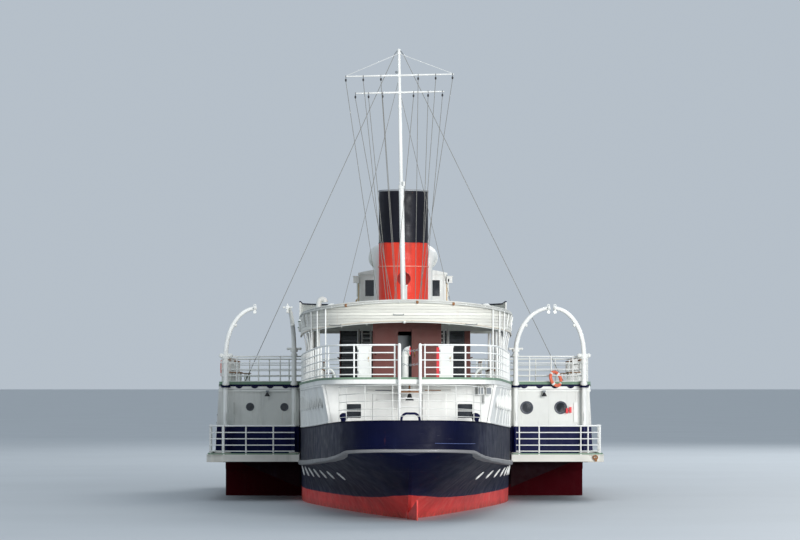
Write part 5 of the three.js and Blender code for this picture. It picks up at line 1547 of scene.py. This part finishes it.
def build_boat_deck():
    """Bent vent pipes and two skylights."""
    deck, ridge = BRIDGE_DECK, BRIDGE_DECK + 0.55
    made = Piece()
    for x, y, high in VENTS:
        bend = [(0, -high), (0, 0), (0.05, 0.09), (0.14, 0.12), (0.22, 0.07), (0.24, 0)]
        made.add(WHITE, tube(spline([(x, y - out, deck + high + up) for out, up in bend], 4), 0.1, 14))
        made.add(WHITE, turned([(0.14, 0), (0.1, 0.04)], (x, y, deck), sides=14))
    for x, long, wide in SKYLIGHTS:
        aft, fore, half = x - long / 2, x + long / 2, wide / 2
        made.add(WHITE, box((aft, -half, deck), (fore, half, deck + 0.3)))
        pitch = (long - 0.1) / 3
        for side in (1, -1):
            section = [(half, deck + 0.3), (0.02, ridge), (0.02, ridge - 0.04), (half, deck + 0.26)]
            for n in range(3):
                start = aft + 0.05 + n * pitch
                ends = (start, start + pitch - 0.05)
                made.add(GLASS_SHADE, loft([[(at, side * y, z) for y, z in section] for at in ends]))
        gable = [(-half, deck + 0.28), (0, ridge - 0.03), (half, deck + 0.28)]
        made.add(WHITE, loft([[(at, *p) for p in gable] for at in (aft, fore)]))
        made.add(WHITE, tube([(aft, 0, ridge), (fore, 0, ridge)], 0.035, 8))
    made.make("boat_deck_fittings")


# Wheelhouse

HOUSE_AFT, HOUSE_FORE, HOUSE_HALF, HOUSE_TOP = 5.0, 7.4, 1.68, 8.28
HOUSE_FLOOR = BRIDGE_DECK + 0.001
HOUSE_SIGHT = HOUSE_FLOOR + 1.55  # middle of the windows


def build_wheelhouse_fittings():
    """Glass, frames, lamps and roof trim of the wheelhouse."""
    made = Piece()
    for side, wide in ((1, 0.42), (-1, 0.37)):
        at = (HOUSE_AFT, side * 1.24, HOUSE_SIGHT - 0.03)
        add_window(made, at, AFT, wide, 0.62, thick=0.03, corner=0.01)
        at = (HOUSE_FORE - 0.575, side * HOUSE_HALF, HOUSE_SIGHT)
        add_window(made, at, (0, side, 0), 0.75, 0.6, thick=0.04, corner=0.01)
    for y in (-1.24, -0.62, 0.0, 0.62, 1.24):
        add_window(made, (HOUSE_FORE, y, HOUSE_SIGHT), FORE, 0.52, 0.6, thick=0.03, corner=0.01)
    for x, ys in ((HOUSE_AFT - 0.012, (-1.6, -0.9, 0.0, 0.9, 1.6)), (HOUSE_FORE + 0.012, (-1.6, 1.6))):
        for y in ys:
            low, high = HOUSE_FLOOR + 0.05, HOUSE_TOP - 0.02
            made.add(WHITE, box((x - 0.012, y - 0.03, low), (x + 0.012, y + 0.03, high)))
    for side in (1, -1):
        edge = [(x, side * 1.71, HOUSE_TOP + 0.02) for x in (HOUSE_AFT - 0.04, HOUSE_FORE + 0.19)]
        made.add(WHITE, tube(edge, 0.02, 6))
        made.add(BRASS, post(HOUSE_AFT + 0.16, side * 1.7, HOUSE_FLOOR + 0.4, HOUSE_TOP - 0.1, 0.014, 6))
    made.make("wheelhouse_windows")
    build_wheelhouse_doors()
    build_wheelhouse_lamps()


def build_wheelhouse_doors():
    x = HOUSE_AFT + 0.7
    for name, side in SIDES:
        y, out = side * 1.76, (0, side, 0)
        frame = wall_frame((x, y, HOUSE_FLOOR + 0.62), out)
        made = Piece().add(WHITE, hoop(frame, 0.62, 0.9, 0.04, -0.01, 0.012, 0.02))
        add_window(made, (x, y - side * 0.005, HOUSE_SIGHT), out, 0.5, 0.62, thick=0.035)
        handle = [(x + 0.28, y), (x + 0.28, y + side * 0.05), (x + 0.16, y + side * 0.05)]
        made.add(BRASS, tube([(*p, HOUSE_FLOOR + 1.0) for p in handle], 0.014, 6))
        made.make(f"wheelhouse_door_trim_{name}", f"wheelhouse_door_{name}_body")


def build_wheelhouse_lamps():
    """Side-light boxes, and a pipe and a vent on the roof."""
    made = Piece()
    x = HOUSE_AFT - 0.03
    for side in (1, -1):
        y = side * 1.69
        made.add(WHITE, box((x - 0.1, y, 7.96), (x + 0.12, y + side * 0.22, 8.2)))
        made.add(WHITE, box((x - 0.13, y, 8.2), (x + 0.15, y + side * 0.25, 8.23)))
    made.add(GLASS_SHADE, box((x - 0.11, -1.79, 8.0), (x - 0.098, -1.74, 8.12)))
    made.add(RAIL_WHITE, post(6.9, 0.5, 8.5, 9.0, 0.02, 6))
    made.add(BRASS, turned([(0.09, 0), (0.11, 0.12), (0.04, 0.17)], (5.9, 0, 8.55), sides=16))
    made.make("wheelhouse_lamps")


def build_helm():
    """The wheel with its box, the telegraphs, and the binnacle forward of the wheelhouse."""
    floor = HOUSE_FLOOR
    centre = Vector((6.25, 0, floor + 0.95))
    made = Piece().add(BENCH_WOOD, ring(centre, 0.5, 0.03, FORE, 32, 8))
    made.add(BENCH_WOOD, ring(centre, 0.12, 0.035, FORE, 16, 8))
    for d in [Vector((0, *p)) for p in turn_points(1, 8)]:
        made.add(BENCH_WOOD, tube([centre, centre + d * 0.5, centre + d * 0.68], [0.018, 0.018, 0.024], 8))
    made.add(BENCH_WOOD, tube([centre, centre + Vector((0.3, 0, 0))], 0.05, 10))
    made.add(BENCH_WOOD, box((6.45, -0.14, floor), (6.62, 0.14, floor + 1.1)))
    for x, y in ((6.85, 0.75), (8.6, 1.7), (8.6, -1.7)):
        made.add(BRASS, turned([(0.14, 0), (0.07, 0.08), (0.055, 0.95)], (x, y, floor), sides=16))
        made.add(BRASS, turned([(0.15, -0.05), (0.15, 0.05)], (x, y, floor + 1.08), FORE, 20))
    binnacle = [(0.001, 0), (0.2, 0), (0.17, 0.1), (0.15, 0.8), (0.19, 0.9), (0.16, 1.02), (0.001, 1.1)]
    made.add(BENCH_WOOD, lathe(binnacle, (8.3, 0, floor), sides=20))
    made.make("helm")


# Cabins on the promenade deck

CASING_AFT, CASING_FORE, CASING_HALF = -7.2, 8.2, 2.3
CASING_WINDOWS = (-6.3, -4.2, -2.1, 2.9, 5.0)
DECKHOUSE_AFT, DECKHOUSE_FORE, DECKHOUSE_HALF, DECKHOUSE_TOP = -16.6, -11.4, 1.1, 6.5
DECKHOUSE_WINDOWS = (-15.6, -13.4)
WINDOW_LONG, WINDOW_TALL, WINDOW_MIDDLE = 1.3, 0.7, 1.15
STAIR_X = -10.5


def add_wood_window(made, centre, out, wide=WINDOW_LONG):
    add_window(made, centre, out, wide, WINDOW_TALL, thick=0.05, rim=BENCH_WOOD, corner=0.02)


def build_casing_fittings():
    """Windows, panels, mouldings and hand rails of the deck saloon."""
    floor = max(prom_z(CASING_FORE), prom_z(CASING_AFT))
    sight = floor + WINDOW_MIDDLE
    top = BRIDGE_DECK - 0.14
    made = Piece()
    for side in (1, -1):
        y, out = side * CASING_HALF, (0, side, 0)
        for x in CASING_WINDOWS:
            x += WINDOW_LONG / 2
            add_wood_window(made, (x, y, sight), out)
            low, high = sight - WINDOW_TALL / 2, sight + WINDOW_TALL / 2
            made.add(BENCH_WOOD, box((x - 0.02, y - side * 0.02, low), (x + 0.02, y + side * 0.025, high)))
        for k in range(7):
            x = CASING_AFT + 0.2 + k * 2.15
            if x + 1.9 < CASING_FORE:
                frame = wall_frame((x + 0.95, y, floor + 0.4), out)
                made.add(BROWN, hoop(frame, 1.7, 0.52, 0.04, -0.005, 0.015, 0.02))
        for z in (floor + 0.72, top - 0.06, floor + 0.05):
            made.add(BROWN, box((CASING_AFT, y, z), (CASING_FORE, y + side * 0.02, z + 0.05)))
        rail = [(x, y + side * 0.07, floor + 0.95) for x in (CASING_AFT + 0.2, 1.9)]
        made.add(BENCH_WOOD, tube(rail, 0.022, 8))
    add_casing_end(made, floor, top)
    for y in (-1.5, 0.0, 1.5):
        add_wood_window(made, (CASING_FORE, y, sight), FORE, 0.9)
    made.make("casing_fittings")


def add_casing_end(made, floor, top):
    """The glazed screen and the barred window on the casing's after wall, and the rails by the stairs."""
    for near, far, high, bars in ((1.12, 2.27, top - 0.06, 14), (-2.1, -0.95, top - 0.1, 11)):
        low = floor + 0.1
        centre = (CASING_AFT, (near + far) / 2, (low + high) / 2)
        wide, tall = far - near - 0.08, high - low - 0.08
        add_window(made, centre, AFT, wide, tall, thick=0.04, bars=bars, rim=BLACK, corner=0.01)
    for side, ys in ((1, (1.2, 1.5, 1.62)), (-1, (1.02, 1.31, 1.45))):
        for y in ys:
            radius = 0.045 if y == ys[2] else 0.03
            made.add(RAIL_WHITE, post(STAIR_X, side * y, prom_z(STAIR_X), 5.95, radius))
        for z in (5.04, 5.24, 5.48, 5.62, 5.78):
            start = (STAIR_X, side * ys[0], z)
            made.add(RAIL_WHITE, tube([start, (STAIR_X, side * ys[1], z)], 0.022, 6))
            made.add(RAIL_WHITE, tube([start, (-9.0, side * ys[0], z)], 0.022, 6))


def build_deckhouse_fittings():
    aft, fore, top = DECKHOUSE_AFT, DECKHOUSE_FORE, DECKHOUSE_TOP - 0.14
    floor = prom_z(aft)
    made = Piece()
    for side in (1, -1):
        y = side * DECKHOUSE_HALF
        for x in DECKHOUSE_WINDOWS:
            add_wood_window(made, (x + WINDOW_LONG / 2, y, floor + WINDOW_MIDDLE), (0, side, 0))
        for x in (aft + 0.06, -14.0, fore - 0.06):
            made.add(BROWN, box((x - 0.05, y, floor + 0.02), (x + 0.05, y + side * 0.02, top - 0.02)))
        for z in (floor + 0.06, floor + 0.7, top - 0.1):
            made.add(BROWN, box((aft, y, z), (fore, y + side * 0.018, z + 0.06)))
        for near, far in ((0.36, 0.41), (1.01, 1.06)):
            made.add(BROWN, box((aft - 0.012, side * near, floor + 0.12), (aft, side * far, top - 0.25)))
        for z in (floor + 0.12, floor + 0.9, top - 0.3):
            made.add(BROWN, box((aft - 0.012, side * 0.36, z), (aft, side * 1.06, z + 0.05)))
    made.add(BROWN, hoop(wall_frame((aft, 0, floor + 0.85), AFT), 0.62, 1.66, 0.045, -0.01, 0.014, 0.01))
    for y in (-0.3, 0.3):
        made.add(DECK_BOARDS, box((aft + 0.4, y - 0.28, floor + 0.02), (fore - 0.4, y + 0.28, floor + 0.03)))
    made.add(BROWN, box((-14.6, -0.9, floor), (-12.2, -0.3, floor + 0.45)))
    made.add(BENCH_WOOD, box((-14.6, -0.96, floor + 0.45), (-12.2, -0.3, floor + 0.5)))
    made.add(GREY, box((aft + 0.5, -0.5, floor), (aft + 0.53, 0.5, floor + 1.55)))
    made.make("deckhouse_fittings")
    face, y = aft - 0.06, -0.45
    frame = wall_frame((face, y, floor + 0.9), AFT)
    made = Piece().add(BROWN, hoop(frame, 0.4, 1.36, 0.04, 0.0, 0.008, 0.01))
    handle = [(face - out, y + 0.2, floor + z) for out, z in ((0, 0.85), (0.03, 0.9), (0.03, 1.05), (0, 1.1))]
    made.add(BRASS, tube(handle, 0.012, 6))
    made.make("deckhouse_door_trim", "deckhouse_door_body")


# Stern

LOCKERS = (("port", 1.36), ("starboard", -1.12))
LOCKER_AFT, LOCKER_FORE, LOCKER_HALF, LOCKER_HIGH = -25.4, -24.6, 0.21, 1.0
BOLLARD_X, BOLLARD_Y, BOLLARD_SPREAD = -26.9, 1.97, 0.18
SHELF_X = -26.4


def build_stern_fittings():
    """Fairlead, lamps, brackets and bent rails round the after deck."""
    x, top = -29.62, bulwark_z(-29.6)
    half = [(-0.27, -0.02), (-0.25, 0.1), (-0.16, 0.19)]
    loop = half + [(0, 0.2)] + [(-y, z) for y, z in reversed(half)]
    made = Piece().add(NAVY, tube(spline([(x, y, top + z) for y, z in loop], 4), 0.035, 10))
    x = SHELF_X
    made.add(RUST_METAL, box((x - 0.2, -0.28, 3.78), (x + 0.2, 0.28, 3.83)), post(x, 0, 4.1, 3.7, 0.03))
    shade = [(0.001, 0.22), (0.05, 0.2), (0.075, 0.1), (0.14, 0.0), (0.13, -0.005), (0.06, 0.09), (0.001, 0.12)]
    made.add(BLACK, lathe(shade, (x, 0, 3.54), sides=20))
    made.add(WHITE, box((x - 0.1, -0.14, 3.86), (x, 0.0, 3.9)), box((x - 0.1, -0.14, 3.9), (x, -0.1, 4.04)))
    for y in (-2.16, -2.4):
        made.add(WHITE, box((-25.9, y - 0.09, 3.72), (-25.7, y + 0.09, 3.95)))
        made.add(GREY, box((-25.915, y - 0.07, 3.74), (-25.9, y + 0.07, 3.93)))
        made.add(WHITE, post(-25.8, y, 3.95, 4.06, 0.02, 6))
    made.add(WHITE, post(-25.75, -2.28, 3.45, 3.9, 0.035))
    x, floor = -24.2, prom_z(-24.2)
    for side, inner, outer in ((1, 2.26, 2.62), (-1, 2.02, 2.42)):
        bend = [(inner, 0), (inner + 0.04, 0.2), (inner + 0.16, 0.33), (outer, 0.36)]
        made.add(RAIL_WHITE, tube(spline([(x, side * y, floor + z) for y, z in bend], 4), 0.035, 8))
    made.make("stern_fittings")
    build_lockers()
    build_bollards()
    build_ladder()
    build_hull_marks()


def build_lockers():
    x = LOCKER_AFT
    for name, y in LOCKERS:
        foot = prom_z(x) + 0.002
        top, edge = foot + LOCKER_HIGH, LOCKER_HALF + 0.02
        made = Piece()
        frame = wall_frame((x - 0.001, y, foot + 0.52), AFT)
        made.add(WHITE, hoop(frame, 0.3, 0.78, 0.025, -0.004, 0.012, 0.02))
        made.add(WHITE, box((x - 0.02, y - edge, top - 0.03), (LOCKER_FORE + 0.02, y + edge, top + 0.02)))
        handle = [(0, 0.55), (0.04, 0.57), (0.04, 0.66), (0, 0.68)]
        made.add(BRASS, tube([(x - out, y - 0.12, foot + z) for out, z in handle], 0.01, 6))
        for z in (foot + 0.2, foot + 0.85):
            made.add(GREY, post(x - 0.012, y + 0.19, z - 0.05, z + 0.05, 0.014, 6))
        if y < 0:
            side = y + LOCKER_HALF
            made.add(BRIGHT_RED, box((x - 0.03, side + 0.003, foot + 0.06), (x + 0.3, side + 0.085, foot + 0.97)))
        made.make(f"locker_trim_{name}")


def build_bollards():
    x, floor = BOLLARD_X, deck_z(BOLLARD_X - 0.35) + 0.002
    pillar = [
        (0.001, 0), (0.12, 0), (0.095, 0.12), (0.09, 0.85), (0.125, 0.93), (0.125, 1.0), (0.06, 1.05), (0.001, 1.06),
    ]
    plan = ((-0.35, 1.86), (0.35, 1.86), (0.35, 2.08), (-0.35, 2.08))
    for name, side in SIDES:
        y = side * BOLLARD_Y
        made = Piece()
        for sx in (-1, 1):
            made.add(NAVY, lathe(pillar, (x + sx * BOLLARD_SPREAD, y, floor), sides=20))
        made.add(NAVY, loft([[(x + out, side * py, z) for out, py in plan] for z in (floor, floor + 0.08)]))
        made.add(NAVY, tube([(x + sx * 0.18, y, floor + 0.62) for sx in (-1, 1)], 0.035, 8))
        made.make(f"mooring_bitts_{name}", replaces=[f"bollard_{name}"])


def build_ladder():
    foot, top = bulwark_z(-27.5) - 0.3, prom_z(-27.2) + 0.2
    made = Piece().add(RAIL_WHITE, *[post(GATE_X, y, foot, top, 0.04, 10) for y in (-GATE_HALF, GATE_HALF)])
    z = foot + 0.25
    while z < top - 0.3:
        made.add(RAIL_WHITE, tube([(GATE_X, -GATE_HALF, z), (GATE_X, GATE_HALF, z)], 0.018, 8))
        z += 0.25
    made.make("stern_ladder_tubes", replaces=["stern_ladder"])


def build_hull_marks():
    """A long pale scratch across the bare counter."""
    line = moved(around_stern(DECK_LINE, -24.0, 6), 0.004)
    path = [(*at_y(line, -1.92 + 0.04 * k).xy, 2.28 + 0.001 * k) for k in range(31)]
    Piece().add(SCRATCH, tube(path, 0.007, 4)).make("counter_scratch")


# Lifebuoys and benches

BUOY_RADIUS = 0.255


def add_lifebuoy(made, centre, axis):
    """An orange ring with four pale bands."""
    centre, axis = Vector(centre), Vector(axis).normalized()
    made.add(ORANGE, ring(centre, BUOY_RADIUS, 0.058, axis, 28, 10))
    side = Vector(UP).cross(axis).normalized()
    up = axis.cross(side)
    for c, s in [(math.cos(t), math.sin(t)) for t in (math.radians(45 + 90 * k) for k in range(4))]:
        at = centre + (side * c + up * s) * BUOY_RADIUS
        tangent = up * c - side * s
        made.add(RAIL_WHITE, tube([at - tangent * 0.035, at + tangent * 0.035], 0.064, 12))


def build_lifebuoys():
    made = Piece()
    add_lifebuoy(made, (-6.6, -5.34, 4.24), (-0.68, -0.665, 0.307))
    inner = prom_half(13.0) - 0.03
    for x, y in ((-4.6, 6.55), (5.0, 6.55), (5.0, -6.55), (13.0, inner), (13.0, -inner)):
        add_lifebuoy(made, (x, y, prom_z(round(x)) + 0.6), (0, 1, 0))
    made.make("lifebuoys")


def add_bench(made, x, long, near, far, back=None):
    """A slatted seat over x to x + long and near to far across the ship.
    Its back stands on the far side, or forward if back is FORE."""
    floor, seat = prom_z(x), prom_z(x) + 0.43
    low, high = sorted((near, far))

    def bar(mat, run, across, z0, z1):
        """A box over stretches along and across the seat's own length."""
        xs, ys = (across, run) if back == FORE else (run, across)
        made.add(mat, box((xs[0], ys[0], z0), (xs[1], ys[1], z1)))

    run, across = ((low, high), (x, x + long)) if back == FORE else ((x, x + long), (low, high))
    for k in range(5):
        slat = [across[0] + (across[1] - across[0]) * t for t in (k / 5, (k + 0.8) / 5)]
        bar(BENCH_WOOD, run, slat, seat, seat + 0.03)
    edge = x + long if back == FORE else far
    reach = run[1] - run[0]
    count = max(3, round(reach / 0.13))
    for k in range(count):
        at = run[0] + 0.02 + (reach - 0.08) * k / (count - 1)
        bar(WHITE, (at, at + 0.045), (edge - 0.02, edge + 0.01), seat, seat + 0.45)
    bar(BENCH_WOOD, run, (edge - 0.025, edge + 0.015), seat + 0.43, seat + 0.49)
    for px in (x + 0.05, x + long - 0.08):
        for py in (low + 0.05, high - 0.08):
            made.add(WHITE, box((px, py, floor), (px + 0.04, py + 0.04, seat)))


def build_benches():
    made = Piece()
    for side in (1, -1):
        for xs, long, near, far in (
            ((-16.4, -13.9, -11.9), 1.6, 2.72, 3.14),
            ((-5.2, 0.2, 3.6), 1.7, 5.85, 6.3),
            ((9.6, 12.2), 1.7, 2.7, 3.15),
        ):
            for x in xs:
                add_bench(made, x, long, side * near, side * far)
    for x in (10.3, 12.6, 14.9):
        add_bench(made, x, 0.45, -1.3, 1.3, FORE)
    made.make("deck_benches")


# Bow

WINDLASS_X, WINDLASS_HALF = 25.4, 0.55
HATCH_X, HATCH_LONG, HATCH_HALF = 21.6, 1.8, 0.7
ANCHOR_X, JACKSTAFF_X = 27.6, 29.1
CHAIN_LINKS = 24


def add_anchor(made, side):
    """Hawse pipe, anchor, and chain to the windlass."""
    x, up = ANCHOR_X, Vector(UP)
    slope = (half_at(x + 0.3) - half_at(x - 0.3)) / 0.6
    out = Vector((-slope, side, 0)).normalized()
    at = Vector((x, side * (half_at(x) - 0.1), bulwark_z(x) - 0.85)) + out * 0.05
    made.add(NAVY, ring(at, 0.17, 0.055, out, 20, 8))
    made.add(BLACK, tube([at - out * 0.1, at + out * 0.02], 0.15, 16))
    crown = at + out * 0.09 - up * 0.5
    made.add(BLACK, tube([at + out * 0.06, crown], 0.045, 8))
    arm = Vector((1, slope * side, 0)).normalized()
    flukes = [(0.36, 0.3), (0.26, 0), (0, 0), (-0.26, 0), (-0.36, 0.3)]
    path = [crown + arm * reach + up * rise for reach, rise in flukes]
    made.add(BLACK, tube(path, [0.03, 0.055, 0.07, 0.055, 0.03], 10))
    start = Vector((WINDLASS_X + 0.1, side * 0.3, deck_z(WINDLASS_X) + 0.5))
    end = Vector((x - 0.3, side * 0.42, deck_z(x) + 0.08))
    for k in range(CHAIN_LINKS):
        p = start.lerp(end, (k + 0.5) / CHAIN_LINKS)
        made.add(STEEL, ring(p, 0.045, 0.014, (0, 1, 0) if k % 2 else UP, 10, 5))


def build_bow_fittings():
    """Anchors, bitts and jackstaff on the fore deck."""
    made = Piece()
    pillar = [(0.001, 0), (0.11, 0), (0.09, 0.1), (0.09, 0.42), (0.12, 0.48), (0.12, 0.54), (0.001, 0.58)]
    for side in (1, -1):
        add_anchor(made, side)
        for x in (23.6, 24.0):
            made.add(NAVY, lathe(pillar, (x, side * (half_at(x) - 0.5), deck_z(x) + 0.002), sides=18))
    x, top = JACKSTAFF_X, bulwark_z(29)
    made.add(RAIL_WHITE, tube([(x, 0, top - 0.1), (x, 0, top + 2.2)], [0.035, 0.022], 10))
    made.add(BRASS, ball((x, 0, top + 2.22), 0.05, 10))
    made.make("foredeck_fittings")
    build_windlass()
    build_hatch()


def build_windlass():
    x, deck = WINDLASS_X, deck_z(WINDLASS_X)
    axle = deck + 0.5
    cheek = [(-0.3, deck), (0.3, deck), (0.12, axle + 0.16), (-0.12, axle + 0.16)]
    made = Piece()
    for y in (-0.42, 0.0, 0.42):
        made.add(NAVY, loft([[(x + out, y + t, z) for out, z in cheek] for t in (-0.04, 0.04)]))
    half = [
        (0.001, -WINDLASS_HALF), (0.2, -WINDLASS_HALF), (0.2, -0.52), (0.13, -0.48), (0.13, -0.36),
        (0.24, -0.33), (0.17, -0.28), (0.24, -0.22), (0.1, -0.18), (0.1, 0.18),
    ]
    made.add(GREY, lathe(half + [(r, -y) for r, y in reversed(half[:-1])], (x, 0, axle), (0, 1, 0), 28))
    for y in (-0.12, 0.12):
        made.add(STEEL, turned([(0.23, -0.03), (0.23, 0.03)], (x, y, axle), (0, 1, 0), 28))
    made.make("windlass_gear", replaces=["windlass"])


def build_hatch():
    aft, fore = HATCH_X - HATCH_LONG / 2, HATCH_X + HATCH_LONG / 2
    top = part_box("fore_hatch")[1][2] / K
    z = deck_z(aft) + 0.3
    made = Piece()
    for k in range(5):
        y = 0.07 - HATCH_HALF + k * (2 * HATCH_HALF - 0.14) / 4
        made.add(BENCH_WOOD, box((aft + 0.03, y - 0.02, top), (fore - 0.03, y + 0.02, top + 0.02)))
    for side in (1, -1):
        handle = [(-0.2, 0.005), (-0.1, 0.05), (0.1, 0.05), (0.2, 0.005)]
        path = [(HATCH_X + reach, side * (HATCH_HALF + out), z) for reach, out in handle]
        made.add(BRASS, tube(path, 0.015, 6))
    made.make("fore_hatch_trim")


# CAD nodes that stay as they are. The others are white.

NODE_PAINT = {
    "rudder": HULL,
    "paddle_shaft": STEEL,
    "deckhouse": BROWN,
    "deckhouse_roof": BROWN,
    "deckhouse_door": BROWN,
    "casing": BROWN,
    "wheelhouse": WHITE,
    "wheelhouse_roof": WHITE,
    "saloon_bulkhead_aft": WHITE,
    "saloon_bulkhead_fore": WHITE,
    "windlass": NAVY,
    "fore_hatch": BROWN,
}
PAIR_PAINT = {
    "saloon_side": WHITE,
    "saloon_door": WHITE,
    "sponson_deck": SPONSON_PAINT,
    "paddle_box": BOX_PAINT,
    "wheel_guard": GUARD,
    "paddle_wheel": WHEEL,
    "wheelhouse_door": WHITE,
    "bollard": NAVY,
}
NODE_PAINT.update({f"{name}_{side}": mat for name, mat in PAIR_PAINT.items() for side, _ in SIDES})


def paint_nodes():
    for name, node in frame["nodes"].items():
        if node.hide_render:
            continue
        node.data.materials.clear()
        node.data.materials.append(NODE_PAINT.get(name, RAIL_WHITE))


# Camera and studio, in metres of the model from here on except for CAMERA.

CAMERA = (-137.3, 0.92, 3.95)  # metres of the ship
CAMERA_YAW = -0.327  # degrees to port from the ship's axis
FOCAL = 3690  # pixels, for a picture 800 wide
PICTURE_WIDE, PICTURE_HIGH = 800, 540
HORIZON = 387  # pixel row
SENSOR = 36
FLOOR_FAR = 3000
LAMP_TARGET = (0, 0, 3)
# Each lamp: place, diameter and power.
LAMPS = {
    "key": ((-64, -27, 12), 22, 25500),
    "low": ((-78, -18, 4), 14, 14000),
    "fill": ((-56, 30, 22), 34, 2000),
    "rim": ((42, -20, 30), 24, 9000),
}


def place(name, data):
    """Links a new object, whose rotation is a quaternion."""
    obj = bpy.data.objects.new(name, data)
    bpy.context.scene.collection.objects.link(obj)
    obj.rotation_mode = "QUATERNION"
    return obj


def build_camera():
    data = bpy.data.cameras.new("camera")
    data.sensor_width = SENSOR
    data.lens = FOCAL * SENSOR / PICTURE_WIDE
    data.clip_start, data.clip_end = 1, 8000
    camera = place("camera", data)
    camera.location = [c * K for c in CAMERA]
    yaw = math.radians(CAMERA_YAW)
    tilt = math.atan((HORIZON - PICTURE_HIGH / 2) / FOCAL)
    ahead = Vector((math.cos(yaw) * math.cos(tilt), math.sin(yaw) * math.cos(tilt), math.sin(tilt)))
    camera.rotation_quaternion = ahead.to_track_quat("-Z", "Y")
    bpy.context.scene.camera = camera


def build_stage():
    world = bpy.data.worlds.new("studio")
    world.use_nodes = True
    sky = world.node_tree.nodes["Background"].inputs
    sky["Color"].default_value = linear((186, 196, 206))
    sky["Strength"].default_value = 0.95
    bpy.context.scene.world = world
    floor = Shader("floor")
    tone = floor.span(floor.noise(0.2, detail=3), 0.3, 0.7, 0.97, 1.03)
    floor.done(floor.shade(linear((190, 196, 200)), tone), 0.6)
    mesh = bpy.data.meshes.new("floor")
    far = FLOOR_FAR
    mesh.from_pydata([(-far, -far, 0), (far, -far, 0), (far, far, 0), (-far, far, 0)], [], [(0, 1, 2, 3)])
    mesh.materials.append(floor.mat)
    plane = bpy.data.objects.new("floor", mesh)
    bpy.context.scene.collection.objects.link(plane)
    for name, (where, size, power) in LAMPS.items():
        lamp = bpy.data.lights.new(name, "AREA")
        lamp.shape = "DISK"
        lamp.size = size
        lamp.energy = power
        light = place(name, lamp)
        light.location = where
        light.rotation_quaternion = (Vector(LAMP_TARGET) - Vector(where)).to_track_quat("-Z", "Y")
    bpy.context.scene.view_settings.view_transform = "Standard"


build_camera()
build_stage()
build_hull()
build_strakes()
build_promenade_deck()
build_promenade_rails()
build_box_rails()
build_sponson_rails()
build_stern_rail()
build_canopy()
build_funnel()
build_cowls()
build_side_windows()
build_saloon_trim()
build_bulkheads()
build_saloon_doors()
build_box_fittings()
build_box_deck_edge()
build_sponson_edges()
build_davits()
build_mast()
build_bridge()
build_casing_fittings()
build_deckhouse_fittings()
build_stern_fittings()
build_lifebuoys()
build_benches()
build_bow_fittings()
paint_nodes()
